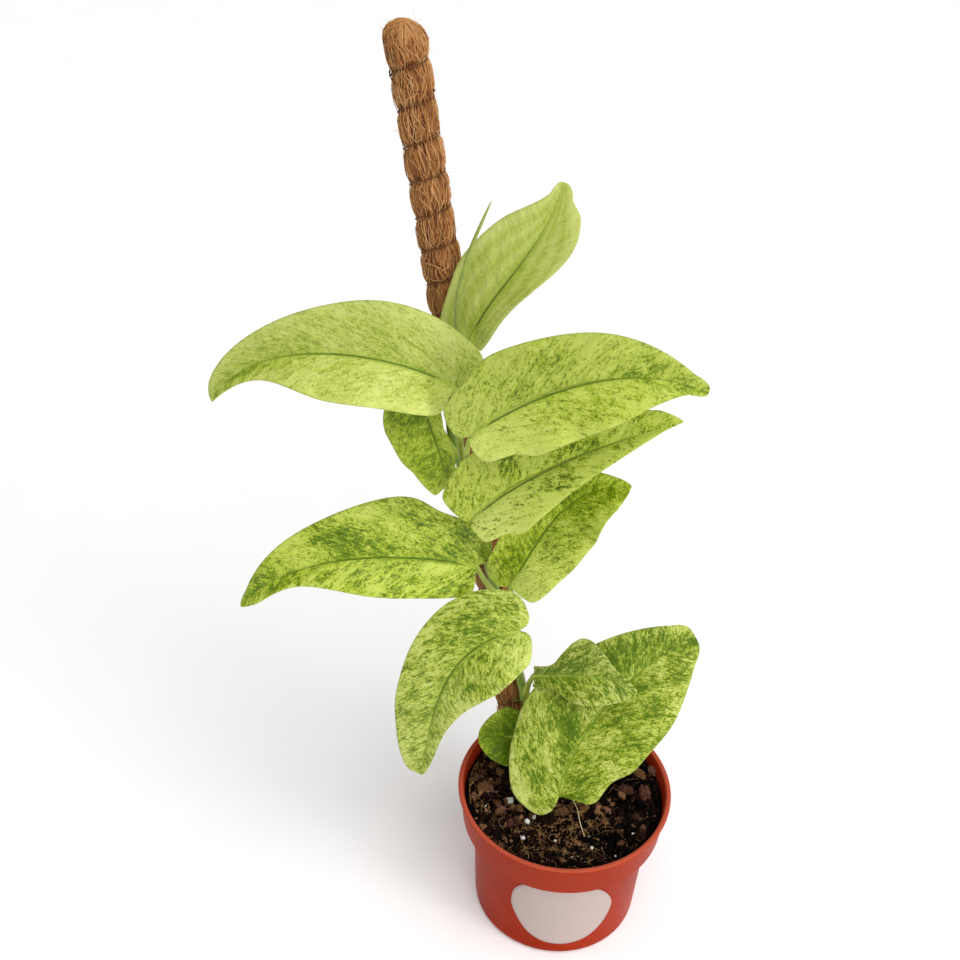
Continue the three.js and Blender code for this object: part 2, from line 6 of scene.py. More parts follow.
import logging
import math
import random
from dataclasses import dataclass, field
from enum import Enum
from functools import cache
from itertools import pairwise
from typing import Any, Callable, ClassVar, Iterable, Sequence

import bpy
import numpy as np
from mathutils import Matrix, Vector, noise


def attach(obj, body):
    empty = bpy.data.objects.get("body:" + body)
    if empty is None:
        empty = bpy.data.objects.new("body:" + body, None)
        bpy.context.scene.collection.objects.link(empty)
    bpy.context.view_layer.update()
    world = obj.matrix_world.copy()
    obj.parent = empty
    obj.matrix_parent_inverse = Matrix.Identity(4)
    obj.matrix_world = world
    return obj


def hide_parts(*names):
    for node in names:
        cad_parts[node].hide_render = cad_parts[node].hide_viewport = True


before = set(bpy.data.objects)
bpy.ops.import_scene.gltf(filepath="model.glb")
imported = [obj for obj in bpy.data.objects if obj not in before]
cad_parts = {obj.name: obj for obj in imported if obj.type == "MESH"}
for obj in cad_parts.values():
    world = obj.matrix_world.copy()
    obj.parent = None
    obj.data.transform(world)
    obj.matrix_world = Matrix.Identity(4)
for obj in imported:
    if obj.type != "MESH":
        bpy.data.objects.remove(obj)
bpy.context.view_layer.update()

LOG = logging.getLogger("plant")
MM = 0.001
Array = np.ndarray
Spot = tuple[float, float, float]
Span = tuple[float, float]
Notes = dict[str, Array]
Stops = Sequence[tuple[float, str]]


class Roundness(Enum):
    """How round a strand is: 0 has four sides, and each step has two more."""

    FIBRE = 0
    ROOT = 2
    STEM = 3
    STALK = 4


def linear(colour: str) -> tuple[float, ...]:
    """Turns a six-digit sRGB colour into a linear one.

    Args:
        colour: The colour as hexadecimal digits.

    Returns:
        Red, green, blue and alpha.
    """
    channels = (int(colour[i:i + 2], 16) / 255 for i in (0, 2, 4))
    return *(c / 12.92 if c <= 0.04045 else ((c + 0.055) / 1.055) ** 2.4 for c in channels), 1.0


def blend(low: Any, high: Any, share: Any) -> Any:
    """Returns the value a share of the way from low to high."""
    return low + (high - low) * share


@cache
def once(finish: Any) -> bpy.types.Material:
    """Returns a finish's material, built only the first time."""
    return finish.build()


# ---- Shader board


def operator(operation: str, swapped: bool = False) -> Callable[..., "Level"]:
    """Makes an operator of Level from one Math node.

    Args:
        operation: The node's operation.
        swapped: Whether the other value comes first, as in a reflected form.

    Returns:
        The method.
    """
    def method(level: "Level", *others: Any) -> "Level":
        """Adds the node and returns its result."""
        values = (*others, level) if swapped else (level, *others)
        board = level.board
        made = board.node("ShaderNodeMath", {"operation": operation}, dict(enumerate(values)))
        return Level(board, made.outputs[0])

    return method


class Level:
    """A number on a shader socket that takes part in Python expressions."""

    def __init__(self, board: "Board", socket: bpy.types.NodeSocket) -> None:
        """Keeps the socket and the board that its maths goes on."""
        self.board = board
        self.socket = socket

    __add__ = __radd__ = operator("ADD")
    __mul__ = __rmul__ = operator("MULTIPLY")
    __sub__ = operator("SUBTRACT")
    __rsub__ = operator("SUBTRACT", swapped=True)
    __abs__ = operator("ABSOLUTE")
    sine = operator("SINE")

    def step(self, low: float, high: float) -> "Level":
        """Rises smoothly from 0 at low to 1 at high.

        Args:
            low: The value where the rise starts.
            high: The value where it ends; below low, the rise is a fall.

        Returns:
            The smooth step.
        """
        if low > high:
            return 1 - self.step(high, low)
        settings = {"interpolation_type": "SMOOTHSTEP"}
        inputs = {"Value": self, "From Min": low, "From Max": high}
        return Level(self.board, self.board.node("ShaderNodeMapRange", settings, inputs).outputs[0])


class Board:
    """One material's node board around a Principled shader."""

    def __init__(self, name: str) -> None:
        """Makes the material and its shader.

        Args:
            name: The material's name.
        """
        self.material = bpy.data.materials.new(name)
        self.material.use_nodes = True
        self.tree = self.material.node_tree
        self.tree.nodes.clear()
        self.shader = self.node("ShaderNodeBsdfPrincipled", {}, {})
        self.node("ShaderNodeOutputMaterial", {}, {"Surface": self.shader.outputs[0]})

    def node(self, kind: str, settings: dict[str, Any], inputs: dict[Any, Any]) -> bpy.types.Node:
        """Adds a node.

        Args:
            kind: The node's type.
            settings: Its own settings; "stops" fills a ramp.
            inputs: Values or links by socket name, identifier or number.

        Returns:
            The node.
        """
        made = self.tree.nodes.new(kind)
        for name, value in settings.items():
            if name == "stops":
                self._fill_ramp(made.color_ramp, value)
            else:
                setattr(made, name, value)
        for key, value in inputs.items():
            self._connect(self._socket(made, key), value)
        return made

    @staticmethod
    def _fill_ramp(ramp: bpy.types.ColorRamp, stops: Stops) -> None:
        """Gives a ramp its stops.

        Args:
            ramp: The colour ramp.
            stops: Places from 0 to 1 and colours.
        """
        while len(ramp.elements) < len(stops):
            ramp.elements.new(0.5)
        for element, (place, colour) in zip(ramp.elements, stops):
            element.position = place
            element.color = linear(colour)

    @staticmethod
    def _socket(made: bpy.types.Node, key: Any) -> bpy.types.NodeSocket:
        """Finds an input of a node.

        Args:
            made: The node.
            key: The input's number, identifier or name.

        Returns:
            The input.
        """
        if isinstance(key, int):
            return made.inputs[key]
        matches = [socket for socket in made.inputs if socket.identifier == key]
        return matches[0] if matches else made.inputs[key]

    def _connect(self, socket: bpy.types.NodeSocket, value: Any) -> None:
        """Links or sets one input.

        Args:
            socket: The input.
            value: A level, a socket or a constant.
        """
        if isinstance(value, Level):
            value = value.socket
        if isinstance(value, bpy.types.NodeSocket):
            self.tree.links.new(value, socket)
        else:
            socket.default_value = value

    def finish(self, **sockets: Any) -> bpy.types.Material:
        """Sets the shader's sockets, with spaces written as underscores.

        Args:
            sockets: Values or links.

        Returns:
            The material.
        """
        for name, value in sockets.items():
            self._connect(self._socket(self.shader, name.replace("_", " ")), value)
        return self.material

    def place(self) -> bpy.types.NodeSocket:
        """Returns the piece's own coordinates, in metres."""
        return self.node("ShaderNodeTexCoord", {}, {}).outputs["Object"]

    def note(self, name: str) -> bpy.types.NodeSocket:
        """Returns an attribute of the mesh as a vector."""
        return self.node("ShaderNodeAttribute", {"attribute_name": name}, {}).outputs["Vector"]

    def tone(self) -> Level:
        """Returns the tone noted on the mesh: each strand's or grain's own tone, and painted shade
        in the hollows on the coir sleeve and the soil's body.
        """
        return self.parts(self.note("tone"))[0]

    def parts(self, vector: bpy.types.NodeSocket) -> list[Level]:
        """Splits a vector into its three levels."""
        outputs = self.node("ShaderNodeSeparateXYZ", {}, {0: vector}).outputs
        return [Level(self, out) for out in outputs]

    def vectors(self, operation: str, first: Any, second: Any) -> bpy.types.NodeSocket:
        """Adds one Vector Math node."""
        inputs = {0: first, 1: second}
        return self.node("ShaderNodeVectorMath", {"operation": operation}, inputs).outputs[0]

    def grain(self, vector: Any, scale: float, detail: float = 3.0, rough: float = 0.5,
              warp: float = 0.0, stretch: Spot | None = None) -> Level:
        """Adds fractal noise.

        Args:
            vector: Where it is read.
            scale: How many cells lie in a unit.
            detail: How many octaves it has.
            rough: How much the fine octaves weigh.
            warp: How far it is warped.
            stretch: How far each axis is squeezed first.

        Returns:
            A level about 0.5.
        """
        if stretch:
            vector = self.vectors("MULTIPLY", vector, stretch)
        inputs = {"Vector": vector, "Scale": scale, "Detail": detail, "Roughness": rough,
                  "Distortion": warp}
        return Level(self, self.node("ShaderNodeTexNoise", {}, inputs).outputs[0])

    def mix(self, share: Any, first: Any, second: Any) -> bpy.types.NodeSocket:
        """Mixes two colours, given as sockets or as hexadecimal digits.

        Args:
            share: How much of the second colour shows.
            first: One colour.
            second: The other colour.

        Returns:
            The mixed colour.
        """
        pair = [linear(colour) if isinstance(colour, str) else colour for colour in (first, second)]
        inputs = {"Factor_Float": share, "A_Color": pair[0], "B_Color": pair[1]}
        made = self.node("ShaderNodeMix", {"data_type": "RGBA"}, inputs)
        return next(out for out in made.outputs if out.identifier == "Result_Color")

    def glaze(self, skin: Any, *layers: tuple[Any, Any]) -> bpy.types.NodeSocket:
        """Lays layers over a skin, each given as its share and its colour.

        Args:
            skin: The colour below.
            layers: Shares and colours.

        Returns:
            The colour of all.
        """
        for share, colour in layers:
            skin = self.mix(share, skin, colour)
        return skin

    def ramp(self, level: Any, stops: Stops) -> bpy.types.NodeSocket:
        """Colours a level by a ramp."""
        return self.node("ShaderNodeValToRGB", {"stops": stops}, {0: level}).outputs[0]

    def bump(self, height: Any, distance: float, strength: float = 1.0) -> bpy.types.NodeSocket:
        """Turns a height from 0 to 1 into a normal; distance is in metres."""
        inputs = {"Height": height, "Distance": distance, "Strength": strength}
        return self.node("ShaderNodeBump", {}, inputs).outputs[0]


# ---- Workbench


@dataclass
class Line:
    """One strand: its points and radii in millimetres and a tone from 0 to 1."""

    points: Array
    radii: Array
    tone: float = 0.5


class Bench:
    """Adds primitives, maps grids, sweeps strands and applies modifiers."""

    cap_rings = 2
    weld_distance = 0.001

    @staticmethod
    def clear() -> None:
        """Leaves edit mode and deselects everything."""
        active = bpy.context.view_layer.objects.active
        if active and active.mode != "OBJECT":
            bpy.ops.object.mode_set(mode="OBJECT")
        bpy.ops.object.select_all(action="DESELECT")

    @staticmethod
    def hang(name: str, data: Any) -> bpy.types.Object:
        """Puts new data in the scene as an object.

        Args:
            name: The object's name.
            data: What it shows.

        Returns:
            The object.
        """
        made = bpy.data.objects.new(name, data)
        bpy.context.scene.collection.objects.link(made)
        return made

    @staticmethod
    def take(piece: bpy.types.Object) -> None:
        """Selects one piece alone and makes it active.

        Args:
            piece: The piece.
        """
        Bench.clear()
        piece.select_set(True)
        bpy.context.view_layer.objects.active = piece

    @staticmethod
    def add(primitive: Callable[..., Any], name: str, **settings: Any) -> bpy.types.Object:
        """Adds a primitive.

        Args:
            primitive: The operator that adds it.
            name: The new object's name.
            settings: The operator's settings.

        Returns:
            The new object.
        """
        Bench.clear()
        primitive(**settings)
        piece = bpy.context.view_layer.objects.active
        piece.name = piece.data.name = name
        return piece

    @staticmethod
    def note(piece: bpy.types.Object, name: str, values: Array) -> None:
        """Writes an attribute on the piece's vertices, one number or three for each.

        Args:
            piece: The piece.
            name: The attribute's name.
            values: The numbers, in the order of the vertices.
        """
        layer = piece.data.attributes.new(name, "FLOAT_VECTOR", "POINT")
        rows = values.reshape(len(piece.data.vertices), -1)
        triples = np.ascontiguousarray(np.broadcast_to(rows, (len(rows), 3)), dtype=np.float32)
        layer.data.foreach_set("vector", triples.ravel())

    @staticmethod
    def weld(piece: bpy.types.Object) -> None:
        """Merges corners that lie on each other and turns the faces outwards.

        Args:
            piece: The piece.
        """
        Bench.take(piece)
        bpy.ops.object.mode_set(mode="EDIT")
        bpy.ops.mesh.select_all(action="SELECT")
        bpy.ops.mesh.remove_doubles(threshold=Bench.weld_distance * MM)
        bpy.ops.mesh.dissolve_degenerate(threshold=Bench.weld_distance * MM / 10)
        bpy.ops.mesh.normals_make_consistent(inside=False)
        bpy.ops.object.mode_set(mode="OBJECT")

    @staticmethod
    def mapped_grid(name: str, columns: int, rows: int,
                    place: Callable[[Array, Array], tuple[Array, Notes]]) -> bpy.types.Object:
        """Adds a grid and bends it into a closed shape.

        Args:
            name: The piece's name.
            columns: Faces across.
            rows: Faces along.
            place: Gives points in millimetres and attributes for shares across and along.

        Returns:
            The welded piece.
        """
        piece = Bench.add(bpy.ops.mesh.primitive_grid_add, name, x_subdivisions=columns,
                          y_subdivisions=rows, size=2)
        flat = np.empty(len(piece.data.vertices) * 3)
        piece.data.vertices.foreach_get("co", flat)
        points, notes = place((flat[0::3] + 1) / 2, (flat[1::3] + 1) / 2)
        piece.data.vertices.foreach_set("co", (points * MM).ravel())
        for label, values in notes.items():
            Bench.note(piece, label, values)
        Bench.weld(piece)
        return piece

    @staticmethod
    def turned(name: str, profile: Sequence[Span], sides: int) -> bpy.types.Object:
        """Extrudes a disc along a profile, as on a lathe.

        Args:
            name: The piece's name.
            profile: Radius and height of each ring; the first lies at height 0.
            sides: Corners of each ring.

        Returns:
            A closed body.
        """
        piece = Bench.add(bpy.ops.mesh.primitive_circle_add, name, vertices=sides,
                          radius=profile[0][0] * MM, fill_type="NGON")
        bpy.ops.object.mode_set(mode="EDIT")
        bpy.ops.mesh.select_all(action="SELECT")
        for (radius, height), (next_radius, next_height) in pairwise(profile):
            rise = (0, 0, (next_height - height) * MM)
            bpy.ops.mesh.extrude_region_move(TRANSFORM_OT_translate={"value": rise})
            grow = next_radius / radius
            centre = (0, 0, next_height * MM)
            bpy.ops.transform.resize(value=(grow, grow, 1), center_override=centre)
        Bench.weld(piece)
        return piece

    @staticmethod
    def strands(name: str, lines: Sequence[Line],
                roundness: Roundness = Roundness.FIBRE) -> bpy.types.Object:
        """Sweeps round strands along lines and notes each one's tone.

        Args:
            name: The piece's name.
            lines: The strands.
            roundness: How round they are.

        Returns:
            One mesh of closed strands.
        """
        curve = bpy.data.curves.new(name, "CURVE")
        curve.dimensions = "3D"
        curve.bevel_depth = MM
        curve.bevel_resolution = roundness.value
        curve.use_fill_caps = True
        for line in lines:
            spline = curve.splines.new("POLY")
            spline.points.add(len(line.points) - 1)
            ones = np.ones((len(line.points), 1))
            spline.points.foreach_set("co", np.hstack([line.points * MM, ones]).ravel())
            spline.points.foreach_set("radius", line.radii)
        Bench.take(Bench.hang(name, curve))
        bpy.ops.object.convert(target="MESH")
        piece = bpy.context.view_layer.objects.active
        rings = [len(line.points) + Bench.cap_rings for line in lines]
        sides = len(piece.data.vertices) // sum(rings)
        tones = [line.tone for line in lines]
        Bench.note(piece, "tone", np.repeat(tones, [count * sides for count in rings]))
        Bench.weld(piece)
        return piece

    @staticmethod
    def grains(name: str, model: bpy.types.Object, places: Sequence[Matrix],
               tones: Sequence[float]) -> bpy.types.Object:
        """Copies one model to many places in a single mesh, and removes the model.

        Args:
            name: The piece's name.
            model: The shape that repeats, in millimetres.
            places: Where each copy goes, in millimetres.
            tones: Each copy's tone.

        Returns:
            One mesh of closed grains.
        """
        corners = np.array([vertex.co[:] for vertex in model.data.vertices])
        faces = [tuple(face.vertices) for face in model.data.polygons]
        count = len(corners)
        points = [corners @ np.array(place.to_3x3()).T + np.array(place.translation)
                  for place in places]
        polygons = [tuple(corner + index * count for corner in face)
                    for index in range(len(places)) for face in faces]
        mesh = bpy.data.meshes.new(name)
        mesh.from_pydata((np.concatenate(points) * MM).tolist(), [], polygons)
        bpy.data.objects.remove(model)
        piece = Bench.hang(name, mesh)
        Bench.note(piece, "tone", np.repeat(tones, count))
        return piece

    @staticmethod
    def apply(piece: bpy.types.Object, kind: str, **settings: Any) -> None:
        """Adds a modifier, sets it and applies it.

        Args:
            piece: The piece.
            kind: The modifier's type.
            settings: Its settings.
        """
        Bench.take(piece)
        modifier = piece.modifiers.new(kind.title(), kind)
        for name, value in settings.items():
            setattr(modifier, name, value)
        bpy.ops.object.modifier_apply(modifier=modifier.name)

    @staticmethod
    def smooth(piece: bpy.types.Object, crease: float | None = None) -> None:
        """Shades the piece smooth, but for edges sharper than a crease in degrees.

        Args:
            piece: The piece.
            crease: The angle past which an edge stays sharp, if any does.
        """
        Bench.take(piece)
        if crease:
            bpy.ops.object.shade_smooth_by_angle(angle=math.radians(crease))
        else:
            bpy.ops.object.shade_smooth()

    @staticmethod
    def dress(piece: bpy.types.Object, slot: str, nodes: Iterable[str],
              *materials: bpy.types.Material) -> bpy.types.Object:
        """Gives a piece its materials and body, and hides the nodes it stands for.

        Args:
            piece: The finished piece.
            slot: The record's material slot; it is not used.
            nodes: The CAD nodes it replaces.
            materials: Its materials by slot.

        Returns:
            The piece.
        """
        piece.data.materials.clear()
        for material in materials:
            piece.data.materials.append(material)
        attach(piece, "root")
        for node in nodes:
            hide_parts(node)
        LOG.info("%s: %d faces", piece.name, len(piece.data.polygons))
        return piece


# ---- Curves that the plant grows along


def spline_points(knots: Array, shares: Array) -> Array:
    """Follows a smooth curve that passes through its knots.

    Args:
        knots: The points it passes through, one a row.
        shares: How far along it, from 0 to 1.

    Returns:
        One point for each share.
    """
    last = len(knots) - 1
    spot = np.clip(shares, 0, 1) * last
    index = np.minimum(np.floor(spot).astype(int), last - 1)
    t = (spot - index)[:, None]
    before, start = knots[np.maximum(index - 1, 0)], knots[index]
    end, after = knots[index + 1], knots[np.minimum(index + 2, last)]
    rise, fall = (end - before) / 2, (after - start) / 2
    cubic = 2 * start - 2 * end + rise + fall
    square = -3 * start + 3 * end - 2 * rise - fall
    return cubic * t ** 3 + square * t ** 2 + rise * t + start


def arc_points(start: Array, bend: Array, end: Array, count: int) -> Array:
    """Follows a quadratic bow through count points."""
    t = np.linspace(0, 1, count)[:, None]
    return (1 - t) ** 2 * start + 2 * t * (1 - t) * bend + t ** 2 * end


@dataclass(frozen=True)
class Pole:
    """The leaning pole, its coir sleeve, winding and thread."""

    foot: Spot = (-26.0, 37.5, 85.0)
    top: Spot = (-97.8, 40.5, 521.0)
    coir_radius: float = 8.3
    bulge: float = 1.15
    knob_radius: float = 9.2
    knob_length: float = 16.0
    gap_above_soil: float = 3.0
    pitch: float = 17.2
    front_height: float = 466.2
    lean: float = 3.0
    thread_radius: float = 0.23
    thread_ring: float = 8.35
    thread_low: float = 94.0
    thread_high: float = 504.5

    def axis(self, height: Any) -> Array:
        """Returns the axis at one or many heights.

        Args:
            height: Heights above the base.

        Returns:
            Points on the axis.
        """
        foot, top = np.array(self.foot), np.array(self.top)
        share = (np.asarray(height, dtype=float) - foot[2]) / (top[2] - foot[2])
        return foot + share[..., None] * (top - foot)

    def around(self, height: Any, turn: Any, radius: Any) -> Array:
        """Returns points around the axis.

        Args:
            height: Heights above the base.
            turn: Angles in radians, from +X towards +Y.
            radius: Distances from the axis.

        Returns:
            The points.
        """
        height, turn, radius = np.broadcast_arrays(height, turn, radius)
        offset = np.stack([np.cos(turn), np.sin(turn), np.zeros(turn.shape)], axis=-1)
        return self.axis(height) + offset * radius[..., None]

    def winding(self, height: Any, turn: Any) -> Array:
        """Returns the angle from the thread, which is 0 in the groove and leans up at the front."""
        level = np.asarray(height) + self.lean * np.sin(turn) - self.front_height
        return 2 * math.pi * level / self.pitch - turn - math.pi / 2

    def surface(self, height: Any, turn: Any) -> Array:
        """Returns the sleeve's radius, pinched under the thread and rounded off at the top.

        Args:
            height: Heights above the base.
            turn: Angles round the axis.

        Returns:
            The radii.
        """
        height = np.asarray(height, dtype=float)
        knob = np.clip(2 * (1 - (self.top[2] - height) / self.knob_length), 0, 1)
        phase = self.winding(height, turn)
        swell = self.bulge * (0.4 - 1.4 * np.exp(-((1 - np.cos(phase)) / 0.32)))
        above = np.clip((height - self.top[2]) / self.knob_radius + 1, 0, 1)
        return blend(self.coir_radius + swell, self.knob_radius, knob) * np.sqrt(1 - above ** 2)


POLE = Pole()


@dataclass(frozen=True)
class StemLine:
    """Where the climbing stem runs beside the pole."""

    root: float = 52.0
    tip: float = 326.0
    soil: float = 85.0
    offset: float = 12.9
    turn_low: float = 26.0
    turn_high: float = 124.0
    radius_low: float = 2.7
    radius_high: float = 2.0

    def centre(self, height: Any) -> Array:
        """Returns the stem's centre at one or many heights.

        Args:
            height: Heights above the base.

        Returns:
            Points on the stem's line.
        """
        height = np.asarray(height, dtype=float)
        share = np.maximum((height - self.soil) / (self.tip - self.soil), 0)
        turn = -np.radians(blend(self.turn_low, self.turn_high, share))
        return POLE.around(height, turn, self.offset)

    def radius(self, height: Any) -> Array:
        """Returns the stem's radius between its nodes."""
        share = (np.asarray(height, dtype=float) - self.root) / (self.tip - self.root)
        return blend(self.radius_low, self.radius_high, share)


STEM = StemLine()


# ---- Leaves


@dataclass(frozen=True)
class Side:
    """One half of a blade, measured flat; lean is how far its veins run on for each step across."""

    width: float
    lobe: float
    belly: float
    shoulder: float
    cheek: float
    tip: float
    lean: float = 1.3
    round_end: ClassVar[float] = 0.07
    pace: ClassVar[tuple[Array, Array]] = (np.array([0, 3, 4, 8]) / 8, np.array([0, 3, 5, 9]) / 9)

    def outline(self, length: float, shares: Array, blunt: float) -> Array:
        """Follows the margin from the petiole round the lobe to the tip.

        Args:
            length: The midrib's length.
            shares: How far round, from 0 to 1.
            blunt: How round the tip is: 1 is a point, 2 a parabola.

        Returns:
            Flat points, along and across.
        """
        width, reach = self.width, self.belly * length
        knots = np.array([
            (0, 0),
            (-0.75 * self.lobe, 0.08 * width),
            (-self.lobe, 0.27 * width),
            (-0.45 * self.lobe, 0.66 * self.shoulder * width),
            (0.12 * reach, 0.84 * self.shoulder * width),
            (0.5 * reach, self.shoulder * width),
            (reach, width),
            (0.5 * (length + reach), self.cheek * width),
            (0.93 * length, self.tip * width),
            (length, 0),
        ], dtype=float)
        shares = np.interp(shares, *self.pace)
        margin = spline_points(knots, shares)
        left_over = np.clip((1 - shares) * (len(knots) - 1), 0, 1)
        along = length * (1 - self.round_end * left_over ** 2)
        across = self.tip * width * left_over ** (2 / blunt)
        return np.where((left_over < 1)[:, None], np.stack([along, across], axis=-1), margin)


@dataclass(frozen=True)
class Mottle:
    """How one blade is coloured.

    green is how much of it is green rather than cream, contrast how dark its flecks are, the third
    field how much painted shade dulls its left half (or its right, if negative), clouds how patchy
    the green lies, tip_green how green its tip is, pale_rib how pale its midrib is, glow how much
    painted light brightens the foot of the other half, cream how far its lime turns to cream,
    pleats how far long veins beside the midrib take the place of the laterals, and gloss how much
    light its skin throws back.
    """

    green: float = 0.45
    contrast: float = 0.6
    painted_half_shade: float = 0.3
    clouds: float = 0.6
    tip_green: float = 0.0
    pale_rib: float = 0.0
    glow: float = 0.0
    cream: float = 0.0
    pleats: float = 0.0
    gloss: float = 0.22


@dataclass(frozen=True)
class LeafPlan:
    """One leaf: where it leaves the stem, its midrib, its two halves and its colours."""

    name: str
    node: float
    arch: Spot
    midrib: tuple[Spot, Spot, Spot, Spot]
    turn: float
    rise: float
    left: Side
    right: Side
    mottle: Mottle = field(default_factory=Mottle)
    sheath: float = 1.0
    blunt: float = 2.0


LEAVES = (
    LeafPlan("leaf_01", 318, (-72, 24, 350),
             ((-64, 26, 371), (-58, 23, 401), (-31, 22, 424), (-26, 34, 453)), -5, 30,
             Side(23.5, 3, 0.41, 0.8, 0.77, 0.18), Side(16, 1, 0.71, 0.61, 0.82, 0.41),
             Mottle(0.40, 0.02, 0.3, 0.3, cream=0.5, pleats=1.0, gloss=0.18), blunt=2.8),
    LeafPlan("leaf_02", 288, (-66, 8, 325),
             ((-70, 6, 360), (-99, -2, 384), (-162, -7, 395), (-181, -4, 352)), 0, 30,
             Side(21, 0, 0.51, 1, 0.36, 0.11, 2.4), Side(26, 9, 0.38, 1, 0.57, 0.23, 1.9),
             Mottle(0.36, 0.38, -0.6, 0.5, 0.7, glow=0.25, cream=0.35), blunt=1.4),
    LeafPlan("leaf_03", 272, (-66, 14, 318),
             ((-61, -14, 347), (-38, -19, 374), (4, -25, 403), (41, -30, 389)), 3, 34,
             Side(26.5, 6, 0.27, 0.89, 0.78, 0.2), Side(23, 3.5, 0.27, 0.79, 0.87, 0.17, 2.8),
             Mottle(0.25, 0.75, 0.6, 0.75, 0.8, glow=0.8), 1.7, blunt=3.2),
    LeafPlan("leaf_04", 302, (-86, 24, 335),
             ((-84, 15, 347), (-84, 8, 330), (-67, 10, 311), (-78, 8, 293)), -15, 12,
             Side(8, 5, 0.29, 1, 0.86, 0.21), Side(22, 6, 0.36, 0.99, 0.8, 0.48),
             Mottle(0.57, 0.6, 0.0, 0.7, -0.8), blunt=2.2),
    LeafPlan("leaf_05", 250, (-48, 10, 280),
             ((-60, -4, 287), (-39, -11, 322), (-3, -15, 346), (34, -18, 364)), 3, 42,
             Side(25, 2, 0.23, 0.94, 0.74, 0.31), Side(20, 1, 0.25, 0.8, 0.53, 0.08, 2.8),
             Mottle(0.20, 1.1, 0.0, 1.3, glow=1.1, gloss=0.18), blunt=1.3),
    LeafPlan("leaf_06", 190, (-36, 12, 214),
             ((-38, 6, 238), (-27, 2, 264), (-18, 2, 311), (16, -4, 314)), 5, 40,
             Side(17.5, 4, 0.27, 0.98, 1, 0.26), Side(22, 1.5, 0.34, 0.88, 0.97, 0.5, 2.1),
             Mottle(0.48, 0.78, 0.0, 0.9, glow=0.85, gloss=0.1), blunt=1.6),
    LeafPlan("leaf_07", 210, (-50, 14, 230),
             ((-56, 6, 250), (-94, -5, 267), (-150, -9, 267), (-174, -8, 227)), -3, 38,
             Side(18.5, 0.5, 0.44, 1.1, 0.42, 0.27, 1.9), Side(30, 6, 0.32, 0.8, 0.59, 0.12, 1.8),
             Mottle(0.46, 0.85, -0.3, 1.0, 0.4, glow=-0.2), 1.5, blunt=1.7),
    LeafPlan("leaf_08", 162, (-30, 2, 200),
             ((-33, -19, 230), (-79, -34, 230), (-74, -30, 158), (-81, -26, 127)), -8, 36,
             Side(23, 5.5, 0.31, 1.08, 0.36, 0.17), Side(26, 6, 0.25, 1, 0.75, 0.39),
             Mottle(0.47, 0.82, -0.2, 0.6, cream=0.25), blunt=3.0),
    LeafPlan("leaf_09", 134, (-24, 22, 152),
             ((-22, 16, 163), (-12, 8, 170), (12, 3, 184), (33, -1, 171)), 10, 40,
             Side(20.5, -3, 0.5, 0.31, 0.36, 0.12), Side(14, -2, 0.43, 0.55, 1, 0.5),
             Mottle(0.64, 0.9, 0.8, 0.5, 0.0, 0.6, cream=0.5, gloss=0.16), blunt=2.2),
    LeafPlan("leaf_10", 95, (-12, 2, 106),
             ((-4, -20, 107), (1, -3, 144), (31, 14, 172), (64, 30, 186)), -5, 40,
             Side(36.5, 12.5, 0.37, 0.96, 0.71, 0.3, 1.0), Side(33, 0, 0.32, 0.75, 0.97, 0.41),
             Mottle(0.60, 0.80, 0.3, 1.0, 0.0, 0.2, cream=0.35, gloss=0.14), blunt=3.0),
    LeafPlan("leaf_11", 109, (-18, 18, 122),
             ((-25, 13, 117), (-32, 11, 119), (-41, 9, 120), (-50, 8, 121)), -5, 40,
             Side(15.5, 3, 0.4, 0.9, 0.8, 0.4), Side(16.5, 3, 0.4, 0.9, 0.8, 0.4),
             Mottle(0.85, 0.6, -0.3, 0.8, gloss=0.14), blunt=3.0),
)


